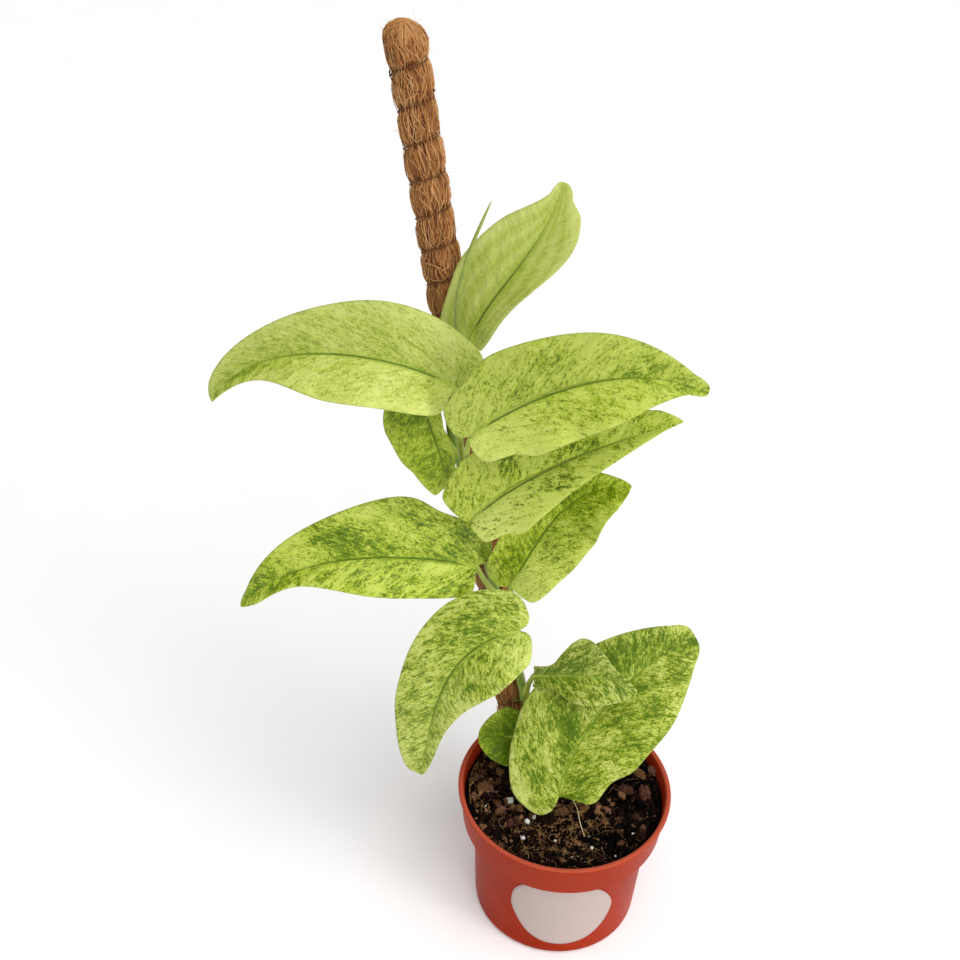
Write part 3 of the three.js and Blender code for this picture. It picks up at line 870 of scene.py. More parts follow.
class Sheet:
    """The curved sheet that carries a blade, in millimetres."""

    fold = 0.3
    arch = 0.008
    wave_height = 0.9
    wave_length = 34.0
    soft_fold = 1.1
    steps = 400

    def __init__(self, plan: LeafPlan) -> None:
        """Measures the midrib.

        Args:
            plan: The leaf.
        """
        self.knots = np.array(plan.midrib, dtype=float)
        turn, rise = math.radians(plan.turn), math.radians(plan.rise)
        self.facing = np.array([
            math.sin(turn) * math.cos(rise), -math.cos(turn) * math.cos(rise), math.sin(rise),
        ])
        self.t = np.linspace(0, 1, self.steps)
        gaps = np.linalg.norm(np.diff(self.point(self.t), axis=0), axis=1)
        self.run = np.concatenate([[0], np.cumsum(gaps)])
        self.length = self.run[-1]

    def point(self, t: Array) -> Array:
        """Follows the cubic midrib at its own parameter.

        Args:
            t: Parameters from 0 to 1.

        Returns:
            Points on the midrib.
        """
        t = np.asarray(t, dtype=float)[:, None]
        a, b, c, d = self.knots
        return (1 - t) ** 3 * a + 3 * (1 - t) ** 2 * t * b + 3 * (1 - t) * t ** 2 * c + t ** 3 * d

    def slope(self, t: Array) -> Array:
        """Returns the midrib's unit direction.

        Args:
            t: Parameters from 0 to 1.

        Returns:
            Directions of length 1.
        """
        t = np.asarray(t, dtype=float)[:, None]
        a, b, c, d = self.knots
        way = (1 - t) ** 2 * (b - a) + 2 * (1 - t) * t * (c - b) + t ** 2 * (d - c)
        return way / np.linalg.norm(way, axis=1, keepdims=True)

    def at(self, along: Array, across: Array, width: Array, lift: Array) -> Array:
        """Bends flat points onto the sheet.

        Args:
            along: Distances along the midrib.
            across: Distances from it, negative on the left.
            width: Half widths of the side that each lies on.
            lift: Heights above the sheet.

        Returns:
            Points in space.
        """
        inside = np.clip(along, 0, self.length)
        t = np.interp(inside, self.run, self.t)
        tangent = self.slope(t)
        centre = self.point(t) + tangent * (along - inside)[:, None]
        side = np.cross(tangent, self.facing)
        side /= np.linalg.norm(side, axis=1, keepdims=True)
        normal = np.cross(side, tangent)
        reach = np.sqrt(across ** 2 + self.soft_fold ** 2) - self.soft_fold
        wave = self.wave_height * (across / width) ** 2 * np.sin(
            2 * math.pi * along / self.wave_length + np.sign(across))
        height = self.fold * reach - self.arch * across ** 2 + wave + lift
        return centre + side * across[:, None] + normal * height[:, None]


@dataclass(frozen=True)
class BladeFinish:
    """The variegated skin of one blade, painted beside and along its lateral veins.

    Each pattern holds its cells in a centimetre beside and along the veins, its octaves, the weight
    of the fine ones and its warp. The patterns are cloud, haze, grit, fleck, speck and quilt.
    """

    plan: LeafPlan
    seed: float
    patterns: ClassVar[tuple[tuple[float, ...], ...]] = (
        (0.62, 0.42, 1.5, 0.5, 0.3), (4.2, 1.6, 5.0, 0.66, 0.4), (11.0, 4.6, 3.0, 0.6, 0.3),
        (8.0, 3.2, 2.5, 0.65, 0.4), (16.0, 9.5, 1.0, 0.5, 0.1), (3.2, 1.2, 2.0, 0.5, 0.0),
    )
    limes: ClassVar[Stops] = (
        (0.0, "C6D45C"), (0.28, "B5C542"), (0.48, "A4B72A"), (0.66, "8CA414"), (0.84, "6E8C06"),
        (1.0, "557404"),
    )
    creams: ClassVar[Stops] = ((0.1, "D2D294"), (0.45, "B8BC60"), (0.75, "788A2A"), (1.0, "4C6412"))
    # Painted shade on one half of the blade and painted light at the foot of the other.
    painted_shade_colour: ClassVar[str] = "979F58"
    painted_light_colour: ClassVar[str] = "E4EE80"
    flecked: ClassVar[str] = "4E6A08"
    specked: ClassVar[str] = "456006"
    pleat_dark: ClassVar[str] = "8CA030"
    pleat_light: ClassVar[str] = "CBD488"
    vein_green: ClassVar[str] = "6C8A14"
    # A green haze along the midrib, partly its own green and partly painted shade of the fold
    # there.
    rib_haze_and_shade_green: ClassVar[str] = "8AA61C"
    rib_dark: ClassVar[str] = "4C6A0C"
    rib_pale: ClassVar[str] = "B9CB66"
    margin_pale: ClassVar[str] = "A7B45A"
    under_green: ClassVar[str] = "9FB45C"
    under_rib: ClassVar[str] = "AFC26A"
    pleat_count: ClassVar[float] = 3.2
    pore_scale: ClassVar[float] = 2600.0
    relief: ClassVar[float] = 0.0012

    def build(self) -> bpy.types.Material:
        """Paints ground, clouds, flecks, veins and margin, with painted shade on one half, painted
        light at the foot of the other, and a haze along the midrib that is partly painted shade of
        its fold.

        Returns:
            The material.
        """
        mottle, full_turn = self.plan.mottle, 2 * math.pi
        board = Board(f"{self.plan.name}_blade_skin")
        vein = board.note("vein_space")
        share, reach, under = board.parts(board.note("blade_place"))
        order, distance, _ = board.parts(board.note("vein_order"))
        from_rib = abs(distance)
        cloud, haze, grit, fleck, speck, quilt = (
            board.grain(vein, 1.0, *form, stretch=(beside, along, 1.0))
            for beside, along, *form in self.patterns
        )
        # Painted shade dulls one half of the blade and painted light brightens the foot of the
        # other, as the folded halves face the light differently.
        side = distance.step(0.05, -0.05)
        painted_half_shade = side if mottle.painted_half_shade >= 0 else 1 - side
        glow = (1 - painted_half_shade) * share.step(0.85, 0.3)

        density = (cloud - 0.5) * (1.25 * mottle.clouds)
        density = density + (haze - 0.5) * (0.4 + 1.9 * mottle.contrast)
        density = density + (grit - 0.5) * (0.3 + 1.1 * mottle.contrast)
        density = density + mottle.green - reach.step(0.55, 1.0) * 0.18
        density = density + share.step(0.7, 1.0) * (0.3 * mottle.tip_green)
        # The painted light also thins the green at that foot.
        density = density - glow * (0.3 * mottle.glow)
        flecks = (fleck + density * 0.24).step(0.65, 0.71)
        specks = (speck + density * 0.24).step(0.62, 0.72)
        laterals = (order * full_turn).sine().step(0.955, 1.0) * reach.step(0.03, 0.15)
        laterals = laterals * reach.step(1.0, 0.75) * share.step(0.22, 0.36) * (1 - mottle.pleats)
        pleats = (reach * (full_turn * self.pleat_count) - 0.8).sine()
        rib = from_rib.step(0.10, 0.02) * share.step(1.0, 0.7)
        # The haze along the midrib: partly its own green, partly painted shade of the fold.
        rib_haze_and_shade = from_rib.step(0.42, 0.03) * share.step(1.0, 0.8)

        skin = board.glaze(
            board.ramp(density, self.limes),
            (mottle.cream, board.ramp(density, self.creams)),
            # Painted shade on one half, then painted light at the other half's foot.
            (painted_half_shade * (0.45 * abs(mottle.painted_half_shade)), self.painted_shade_colour),
            (glow * (0.7 * mottle.glow), self.painted_light_colour),
            (flecks * (0.14 + 0.6 * mottle.contrast), self.flecked),
            (specks * (0.14 + 0.55 * mottle.contrast), self.specked),
            (pleats.step(0.55, 1.0) * (0.3 * mottle.pleats), self.pleat_dark),
            (pleats.step(-0.2, -1.0) * (0.25 * mottle.pleats), self.pleat_light),
            (laterals * 0.34, self.vein_green),
            # The midrib's haze with painted shade of the fold.
            (rib_haze_and_shade * 0.3, self.rib_haze_and_shade_green),
            (rib * (0.85 * (1 - mottle.pale_rib)), self.rib_dark),
            (rib * (0.6 * mottle.pale_rib), self.rib_pale),
            (reach.step(0.965, 0.995) * 0.35, self.margin_pale),
        )
        below = board.glaze(skin, (0.6, self.under_green),
                            (from_rib.step(0.2, 0.08), self.under_rib))
        spot = board.vectors("ADD", board.place(), (self.seed, self.seed * 1.7, -self.seed))
        pores = board.grain(spot, self.pore_scale, 2.0, 0.5)
        return board.finish(
            Base_Color=board.mix(under, skin, below), Roughness=0.40 + 0.12 * quilt + under * 0.15,
            Normal=board.bump(pores * 0.06 + quilt * 0.94, self.relief, 0.9),
            Specular_IOR_Level=mottle.gloss, Subsurface_Weight=0.1,
            Subsurface_Radius=(0.9, 1.0, 0.3), Subsurface_Scale=0.001,
        )


@dataclass(frozen=True)
class StalkFinish:
    """The smooth skin of petioles, stem and spear."""

    name: str
    light: str
    dark: str
    streaks: float = 0.5

    def build(self) -> bpy.types.Material:
        """Paints fine streaks that run up the stalk.

        Returns:
            The material.
        """
        board = Board(self.name)
        spot = board.place()
        lines = board.grain(spot, 1500.0, 3.0, 0.6, stretch=(1.0, 1.0, 0.12))
        cloud = board.grain(spot, 90.0, 3.0, 0.6)
        share = (lines * 0.5 + cloud * 0.7 - 0.1).step(0.3, 0.7)
        skin = board.mix(share * (0.5 + self.streaks / 2), self.light, self.dark)
        return board.finish(
            Base_Color=skin, Roughness=0.42 + 0.15 * cloud, Normal=board.bump(lines, 0.00008),
            Specular_IOR_Level=0.3,
            Subsurface_Weight=0.08, Subsurface_Radius=(0.8, 1.0, 0.3), Subsurface_Scale=0.001,
        )


PETIOLE_SKIN = StalkFinish("petiole_skin", "B4C24A", "86992A", 0.5)
STEM_SKIN = StalkFinish("stem_skin", "9AB04A", "62803A", 0.9)
SPEAR_SKIN = StalkFinish("spear_skin", "9EAC4C", "7C8C3C", 0.6)


@dataclass
class Leaf:
    """One leaf: a blade with veins and its petiole."""

    plan: LeafPlan
    index: int
    rows: int = 96
    half_columns: int = 22
    crowded_margin: float = 0.85
    thickness: float = 0.7
    thin_margin: float = 0.55
    wander: float = 1.4
    keel: float = 0.7
    rib_width: float = 0.9
    rib_depth: float = 0.34
    lateral_veins: float = 7.0
    lateral_width: float = 0.5
    lateral_depth: float = 0.3
    lobe_share: float = 0.16
    lobe_reach: float = 14.0
    lobe_start: float = 6.0
    vein_bow: float = 0.45
    vein_unit: float = 10.0
    side_scale: float = 0.13
    leaf_shift: float = 73.0
    half_shift: float = 25.0
    petiole_radius: float = 1.7
    petiole_steps: int = 15
    sheath_swell: float = 0.45
    sheath_run: float = 0.28
    knee_swell: float = 0.16
    knee_place: float = 0.93
    knee_run: float = 0.06
    runout: float = 12.0

    def __post_init__(self) -> None:
        """Bends the sheet that carries the blade and spaces its lateral veins."""
        self.sheet = Sheet(self.plan)
        self.vein_gap = self.sheet.length / self.lateral_veins
        self.around = 4 * self.half_columns + 2

    def vein_start(self, share: Array) -> Array:
        """Returns where on the midrib the vein starts that ends at a share of the margin."""
        past_lobe = np.maximum(0, (share - self.lobe_share) / (1 - self.lobe_share))
        return self.sheet.length * past_lobe ** 2.3

    def margin(self, v: Array, sign: Array) -> tuple[Array, Array, Array]:
        """Follows the wavering margin of the half that each point lies on.

        Args:
            v: Shares along the margin.
            sign: The side, negative on the left.

        Returns:
            The margin's flat points, and the half's width and the lean of its veins.
        """
        on_left, halves = sign < 0, (self.plan.left, self.plan.right)
        sides = [half.outline(self.sheet.length, v, self.plan.blunt) for half in halves]
        edge = np.where(on_left[:, None], *sides)
        wander = np.array([noise.noise(Vector((7 * b, 9.0 * a, self.index)))
                           for a, b in zip(sign, v)])
        sway = np.array([0.0, self.wander]) * np.sin(math.pi * v)[:, None]
        width = np.where(on_left, *(half.width for half in halves))
        lean = np.where(on_left, *(half.lean for half in halves))
        return edge + wander[:, None] * sway, width, lean

    def blade_place(self, u: Array, v: Array) -> tuple[Array, Notes]:
        """Puts the grid over the face, round the margin and back under the blade.

        Args:
            u: Shares round the section.
            v: Shares along the margin, from petiole to tip.

        Returns:
            Points and the attributes that the skin reads.
        """
        column = np.rint(u * self.around).astype(int) % self.around
        under = column > 2 * self.half_columns
        step = np.where(under, self.around - 1 - column, column) - self.half_columns
        reach = (np.abs(step) / self.half_columns) ** self.crowded_margin
        sign = np.sign(step)
        edge, width, lean = self.margin(v, sign)
        along = blend(self.vein_start(v), edge[:, 0], reach ** 1.12)
        across = sign * edge[:, 1] * reach
        away = np.abs(across)
        drift = away * (1 + self.vein_bow * away / width)
        past_lobe = np.maximum(along + self.lobe_start, 0)
        order = along - lean * (1 - np.exp(-past_lobe / self.lobe_reach)) * drift

        fade = np.clip((1 - v) * 6, 0, 1)
        rib = np.exp(-(across / self.rib_width) ** 2) * fade
        furrow = np.sin(2 * math.pi * order / self.vein_gap)
        lateral = np.exp(-((1 - furrow) / self.lateral_width)) * fade
        lateral = lateral * np.clip(reach * 5, 0, 1) * np.clip((1 - reach) * 4, 0, 1)
        rounding = 1 - self.thin_margin * np.clip((reach - 0.9) / 0.1, 0, 1)
        lift = np.where(under, -1.0, 1.0) * self.thickness / 2 * rounding
        lift = lift - rib * np.where(under, self.keel * (1 - v), self.rib_depth)
        lift = lift - lateral * self.lateral_depth

        slope = np.hypot(1, lean)
        veins = [(along - lean * away) / slope, (lean * along + away) / slope,
                 self.leaf_shift * self.index + self.half_shift * (across < 0)]
        return self.sheet.at(along, across, width, lift), {
            "vein_space": np.stack(veins, axis=-1) / self.vein_unit,
            "vein_order": np.stack(
                [order / self.vein_gap, self.side_scale * across, 0 * along], axis=-1),
            "blade_place": np.stack([v, reach, under.astype(float)], axis=-1),
        }

    def petiole(self) -> Line:
        """Bows from the stem to the blade, widest at its sheath, and runs out under the keel.

        Returns:
            The petiole's line.
        """
        one, zero = np.ones(1), np.zeros(1)
        head = self.sheet.at(zero, zero, one, -0.5 * self.petiole_radius * one)[0]
        arch = np.array(self.plan.arch, dtype=float)
        bow = arc_points(STEM.centre(self.plan.node), arch, head, self.petiole_steps)
        t = np.linspace(0, 1, self.petiole_steps)
        sheath = self.sheath_swell * self.plan.sheath * np.exp(-(t / self.sheath_run) ** 2)
        knee = self.knee_swell * np.exp(-((t - self.knee_place) / self.knee_run) ** 2)
        radii = self.petiole_radius * (1 - 0.3 * t + sheath + knee)
        reach = np.array([0.45, 0.8, 1.0]) * self.runout
        depth = -0.3 * self.petiole_radius + 0 * reach
        tail = self.sheet.at(reach, 0 * reach, 1 + 0 * reach, depth)
        tail_radii = self.petiole_radius * np.array([0.6, 0.42, 0.3])
        return Line(np.vstack([bow, tail]), np.concatenate([radii, tail_radii]))

    def build(self) -> bpy.types.Object:
        """Makes the blade and the petiole and joins them.

        Returns:
            The leaf.
        """
        name = self.plan.name
        blade = Bench.mapped_grid(f"{name}_living", self.around, self.rows, self.blade_place)
        stalk = Bench.strands(f"{name}_petiole", [self.petiole()], Roundness.STALK)
        materials = BladeFinish(self.plan, 3.1 * self.index).build(), once(PETIOLE_SKIN)
        for piece, material in zip((blade, stalk), materials):
            piece.data.materials.append(material)
        Bench.take(blade)
        stalk.select_set(True)
        bpy.ops.object.join()
        Bench.smooth(blade)
        slots = [polygon.material_index for polygon in blade.data.polygons]
        Bench.dress(blade, f"{name}_skin", [name], *materials)
        blade.data.polygons.foreach_set("material_index", slots)
        return blade


@dataclass
class NewLeaf:
    """The rolled spear of the next leaf beside the top one."""

    radius: float = 1.6
    steps: int = 28
    wrap_turn: float = 2.2
    wrap_offset: float = 0.62
    wrap_radius: float = 0.55
    path: tuple[Spot, ...] = (
        (-67.4, 23.1, 362), (-70, 20, 382), (-70, 18, 400), (-68, 17, 414), (-65, 18, 427),
        (-61, 21, 438), (-57, 25, 447),
    )

    def build(self) -> bpy.types.Object:
        """Rolls the spear: a tapering rod with a wrapped edge that winds up it.

        Returns:
            The spear.
        """
        shares = np.linspace(0, 1, self.steps)
        points = spline_points(np.array(self.path, dtype=float), shares)
        radii = self.radius * np.sqrt(np.maximum(1 - shares, 0.004))
        turn = self.wrap_turn * math.pi * shares
        away = np.stack([np.cos(turn), np.sin(turn), 0 * turn], axis=-1)
        edge = points + away * (self.wrap_offset * radii)[:, None]
        lines = [Line(points, radii), Line(edge, self.wrap_radius * radii)]
        spear = Bench.strands("new_leaf_spear", lines, Roundness.STALK)
        Bench.smooth(spear)
        return Bench.dress(spear, "spear_skin", ["new_leaf"], SPEAR_SKIN.build())


@dataclass
class Stem:
    """The climbing stem with swollen nodes and short clasping roots."""

    swelling: float = 0.7
    waist: float = 0.12
    node_length: float = 4.0
    step: float = 1.6
    roots_each: int = 2
    root_reach: float = 6.5
    root_steps: int = 7
    root_radii: Span = (0.6, 0.25)

    def build(self) -> bpy.types.Object:
        """Sweeps the stem and its roots.

        Returns:
            The stem.
        """
        heights = np.arange(STEM.root, STEM.tip, self.step)
        radii = np.array(STEM.radius(heights))
        for plan in LEAVES:
            away = (heights - plan.node) / self.node_length
            waist = self.waist * np.exp(-(away - 1.2) ** 2 * 6)
            radii += self.swelling * np.exp(-away ** 2) - waist
        radii[-1] *= 0.6
        lines = [Line(STEM.centre(heights), radii)]
        luck = random.Random(11)
        for plan in LEAVES:
            lines += [self.root(plan.node - luck.uniform(2, 6), luck)
                      for _ in range(self.roots_each)]
        stem = Bench.strands("climbing_stem", lines, Roundness.STEM)
        Bench.smooth(stem)
        return Bench.dress(stem, "stem_skin", ["stem"], STEM_SKIN.build())

    def root(self, height: float, luck: random.Random) -> Line:
        """Grows one clasping root from the stem into the coir.

        Args:
            height: Where it leaves the stem.
            luck: The random draws.

        Returns:
            The root.
        """
        start = STEM.centre(height)
        axis = POLE.axis(height)
        inward = (axis - start) / np.linalg.norm(axis - start)
        sideways = np.array([-inward[1], inward[0], 0]) * luck.choice((-1, 1))
        drop = luck.uniform(-5, 3)
        end = start + inward * self.root_reach
        end = end + sideways * luck.uniform(3, 5) + np.array([0, 0, drop])
        bend = start + inward * 1.5 + sideways * 4 + np.array([0, 0, drop / 3])
        radii = np.linspace(*self.root_radii, self.root_steps)
        return Line(arc_points(start, bend, end, self.root_steps), radii)


# ---- Pole


@dataclass(frozen=True)
class CoirFinish:
    """Brown coconut fibre, lighter on the loose strands."""

    name: str
    deep: str
    body: str
    bright: str

    def build(self) -> bpy.types.Material:
        """Paints streaks along the pole, with painted shade in the hollows that the sleeve's tone
        brings.

        Returns:
            The material.
        """
        board = Board(self.name)
        spot = board.place()
        tone = board.tone()
        threads = board.grain(spot, 1700.0, 3.0, 0.65, stretch=(1.0, 1.0, 0.16))
        patch = board.grain(spot, 85.0, 3.0, 0.6)
        level = tone * 0.62 + threads * 0.42 + patch * 0.34 - 0.19
        skin = board.ramp(level, [(0.12, self.deep), (0.45, self.body), (0.86, self.bright)])
        return board.finish(Base_Color=skin, Roughness=0.72 + 0.2 * threads,
                            Normal=board.bump(threads, 0.0003), Specular_IOR_Level=0.35)


COIR = CoirFinish("coir_fibre", "54280E", "C68646", "E8BC84")
THREAD = CoirFinish("tie_thread", "3C1E0E", "683C1E", "8E5C34")


@dataclass
class ClimbingPole:
    """The coir sleeve with its loose fibres and the thread that ties it.

    Each tufting of the mat is its pitch round and up the pole and its weight.
    """

    sides: int = 84
    rows: int = 760
    closing: float = 0.004
    skin_depth: float = 0.35
    roughness: float = 0.42
    tufting: tuple[Spot, ...] = ((6, 0.12, 1.0), (15, 0.3, 0.6))
    fibres: int = 2500
    crown_fibres: int = 150
    strays: int = 420
    loops: int = 70
    fibre_steps: int = 9
    loop_steps: int = 16
    fibre_length: Span = (9, 34)
    fibre_radius: Span = (0.08, 0.18)
    crown_radius: Span = (0.1, 0.2)
    loop_radius: Span = (0.1, 0.17)
    stray_radius: Span = (0.11, 0.03)
    drift: float = 0.35
    thread_steps: int = 44
    crossing_steps: int = 40
    crossing_turns: Span = (-1.12, 0.1)
    crossing_heights: Span = (498.5, 489.5)
    crossing_gap: float = 0.75
    ply_offset: float = 0.24
    ply_turns: float = 11

    def sleeve_place(self, u: Array, v: Array) -> tuple[Array, Notes]:
        """Wraps the grid round the pole and closes it at both ends.

        Args:
            u: Shares round the pole.
            v: Shares up the pole.

        Returns:
            Points and the tone of the mat, which paints shade where the mat sinks and in the groove
            under the thread.
        """
        low, high = POLE.foot[2] + POLE.gap_above_soil, POLE.top[2] - 0.4
        height = blend(low, high, np.clip((v - self.closing) / (1 - self.closing), 0, 1))
        turn = 2 * math.pi * (u % 1.0)
        radius = np.maximum(POLE.surface(height, turn) - self.skin_depth, 0.05)
        radius = np.where((v <= self.closing / 2) | (v >= 0.9995), 0.0, radius)
        spots = POLE.around(height, turn, radius)
        coarse, fine = (
            weight * np.array([noise.noise(Vector((math.cos(a) * pitch, math.sin(a) * pitch,
                                                   h * rise))) for a, h in zip(turn, height)])
            for pitch, rise, weight in self.tufting
        )
        rough = coarse + fine
        mat = POLE.around(height, turn, radius + self.roughness * rough)
        spots = np.where((radius > 1.0)[:, None], mat, spots)
        # Painted shade: the tone drops where the mat sinks and in the groove under the thread.
        groove = np.exp(-((1 - np.cos(POLE.winding(height, turn))) / 0.3))
        return spots, {"tone": np.clip(0.1 + 0.22 * rough - 0.2 * groove, 0, 1)}

    def fibre(self, luck: random.Random) -> Line:
        """Lays one fibre on the mat, mostly up the pole and bound down at the thread.

        Args:
            luck: The random draws.

        Returns:
            The fibre.
        """
        low, high = POLE.foot[2] + POLE.gap_above_soil + 2, POLE.top[2] - 2.0
        length = luck.uniform(*self.fibre_length)
        start = luck.uniform(low, high)
        drift = luck.gauss(0, self.drift)
        heights = np.linspace(start, min(start + length, high), self.fibre_steps)
        t = np.linspace(0, 1, self.fibre_steps)
        wobble = luck.uniform(0.03, 0.24)
        beat = luck.uniform(2, 9)
        turn = luck.uniform(0, 2 * math.pi) + drift * t
        turn = turn + wobble * np.sin(beat * t + luck.uniform(0, 6))
        proud = luck.uniform(-0.1, 0.5) + 0.45 * np.sin(math.pi * t) * luck.random()
        points = POLE.around(heights, turn, POLE.surface(heights, turn) + proud)
        taper = np.minimum(1, 2.6 - 2.2 * t) * np.minimum(1, 0.6 + 4 * t)
        return Line(points, luck.uniform(*self.fibre_radius) * taper, luck.betavariate(1.5, 1.4))

    def crown_fibre(self, luck: random.Random) -> Line:
        """Folds one fibre over the rounded top of the pole.

        Args:
            luck: The random draws.

        Returns:
            The fibre.
        """
        turn = luck.uniform(0, 2 * math.pi)
        t = np.linspace(0, 1, self.fibre_steps)
        swing = blend(luck.uniform(1.0, 1.6), luck.uniform(-0.6, 0.6), t)
        dome = POLE.knob_radius + luck.uniform(-0.35, 0.15)
        height = POLE.top[2] - POLE.knob_radius + dome * np.cos(swing)
        points = POLE.around(height, turn + luck.gauss(0, 0.3) * t, dome * np.sin(swing))
        radii = np.full(self.fibre_steps, luck.uniform(*self.crown_radius))
        return Line(points, radii, luck.betavariate(2.2, 2.0))

    def stray(self, luck: random.Random) -> Line:
        """Lets one end of a fibre stand off the mat.

        Args:
            luck: The random draws.

        Returns:
            The fibre.
        """
        height = luck.uniform(POLE.foot[2] + 14, POLE.top[2] - 2)
        turn = luck.uniform(0, 2 * math.pi)
        base = float(POLE.surface(height, turn))
        t = np.linspace(0, 1, self.fibre_steps)
        lift = (0.8 + 4.2 * luck.random() ** 2) * t ** luck.uniform(1.1, 2.4)
        rise = luck.uniform(-5, 8) * t
        points = POLE.around(height + rise, turn + luck.gauss(0, self.drift) * t, base + lift)
        return Line(points, np.linspace(*self.stray_radius, self.fibre_steps), luck.uniform(0.5, 1))

    def loop(self, luck: random.Random) -> Line:
        """Curls one long pale fibre across the mat.

        Args:
            luck: The random draws.

        Returns:
            The fibre.
        """
        height = luck.uniform(POLE.foot[2] + 30, POLE.top[2] - 20)
        turn = luck.uniform(0, 2 * math.pi)
        count = self.loop_steps
        t = np.linspace(0, 2 * math.pi * luck.uniform(0.4, 1.0), count) + luck.uniform(0, 6)
        heights = height + luck.uniform(3, 8) * np.sin(t)
        turns = turn + luck.uniform(0.3, 0.8) * np.cos(t + luck.uniform(-0.5, 0.5))
        proud = luck.uniform(0.3, 0.9)
        points = POLE.around(heights, turns, POLE.surface(heights, turns) + proud)
        return Line(points, np.full(count, luck.uniform(*self.loop_radius)), luck.uniform(0.7, 1))

    def thread(self) -> list[Line]:
        """Twists two plies, winds them in the groove and crosses once under the knob.

        Returns:
            The plies.
        """
        turns = (POLE.thread_high - POLE.thread_low) / POLE.pitch
        levels = np.linspace(POLE.thread_low, POLE.thread_high, round(turns * self.thread_steps))
        turn = 2 * math.pi * (levels - POLE.front_height) / POLE.pitch - math.pi / 2
        first, last = (share * math.pi for share in self.crossing_turns)
        runs = (
            (levels - POLE.lean * np.sin(turn), turn, POLE.thread_ring),
            (np.linspace(*self.crossing_heights, self.crossing_steps),
             np.linspace(first, last, self.crossing_steps), POLE.coir_radius + self.crossing_gap),
        )
        plies = []
        for half in (0, math.pi):
            for heights, angle, ring in runs:
                twist = angle * self.ply_turns + half
                points = POLE.around(heights, angle, ring + self.ply_offset * np.cos(twist))
                points[:, 2] += self.ply_offset * np.sin(twist)
                plies.append(Line(points, np.full(len(points), POLE.thread_radius)))
        return plies

    def build(self) -> list[bpy.types.Object]:
        """Makes the sleeve, the fibres and the thread.

        Returns:
            The pieces.
        """
        sleeve = Bench.mapped_grid("coir_sleeve", self.sides, self.rows, self.sleeve_place)
        Bench.smooth(sleeve)
        luck = random.Random(5)
        pieces = [Bench.strands("coir_strands", [self.fibre(luck) for _ in range(self.fibres)])]
        makers = ((self.crown_fibre, self.crown_fibres), (self.stray, self.strays),
                  (self.loop, self.loops))
        lines = [make(luck) for make, count in makers for _ in range(count)]
        pieces.append(Bench.strands("coir_hairs", lines))
        thread = Bench.strands("winding_thread", self.thread())
        for piece in (*pieces, thread):
            Bench.smooth(piece)
        return [
            *(Bench.dress(piece, "coir_fibre", ["pole_coir"], once(COIR))
              for piece in (sleeve, *pieces)),
            Bench.dress(thread, "tie_thread", ["pole_thread"], THREAD.build()),
        ]


@dataclass(frozen=True)
class StakeFinish:
    """The stake's dark plastic, scuffed along its length."""

    def build(self) -> bpy.types.Material:
        """Paints scuffs along the stake.

        Returns:
            The material.
        """
        board = Board("stake_plastic")
        spot = board.place()
        scuffs = board.grain(spot, 2200.0, 3.0, 0.6, stretch=(1.0, 1.0, 0.08))
        skin = board.mix(scuffs.step(0.4, 0.75), "15171A", "34373B")
        return board.finish(Base_Color=skin, Roughness=0.35 + 0.3 * scuffs,
                            Normal=board.bump(scuffs, 0.00005))


# ---- Pot, label and soil


@dataclass(frozen=True)
class PotFinish:
    """Terracotta-coloured plastic; wall and lip are the heights in metres where the wall lightens
    and where a painted highlight lies on the lip.
    """

    wall: ClassVar[Span] = (0.02, 0.085)
    lip: ClassVar[Span] = (0.0915, 0.0928)

    def build(self) -> bpy.types.Material:
        """Paints the wall lighter towards the top, its moulding rings, a painted highlight along
        the top of the lip and a few specks.

        Returns:
            The material.
        """
        board = Board("terracotta_plastic")
        spot = board.place()
        cloud = board.grain(spot, 28.0, 3.0, 0.55)
        rings = board.grain(spot, 1400.0, 2.0, 0.5, stretch=(0.05, 0.05, 1.0))
        specks = board.grain(spot, 520.0, 2.0, 0.6).step(0.74, 0.8)
        haze = board.grain(spot, 160.0, 4.0, 0.6)
        height = board.parts(spot)[2]
        skin = board.glaze(
            board.mix(cloud.step(0.3, 0.7), "99290F", "A53114"),
            (height.step(*self.wall) * 0.4, "AC3A1C"),
            (rings.step(0.45, 0.8) * 0.1, "B84C2C"),
            # A painted highlight along the top of the lip.
            (height.step(*self.lip) * 0.6, "C4624A"),
            (specks * 0.35, "5E1F15"),
        )
        return board.finish(
            Base_Color=skin, Roughness=0.24 + 0.16 * haze,
            Normal=board.bump(rings * 0.5 + haze * 0.5, 0.00006, 0.7), Specular_IOR_Level=0.015,
        )


@dataclass(frozen=True)
class LabelFinish:
    """Blank satin sticker paper."""

    def build(self) -> bpy.types.Material:
        """Paints plain paper with fine fibres.

        Returns:
            The material.
        """
        board = Board("label_paper")
        spot = board.place()
        fibre = board.grain(spot, 1800.0, 3.0, 0.6)
        cloud = board.grain(spot, 45.0, 2.0, 0.5)
        skin = board.mix(fibre.step(0.35, 0.7) * 0.35 + cloud * 0.3, "C0ADA7", "B09C96")
        return board.finish(Base_Color=skin, Roughness=0.42 + 0.15 * fibre,
                            Normal=board.bump(fibre, 0.00003, 0.6))


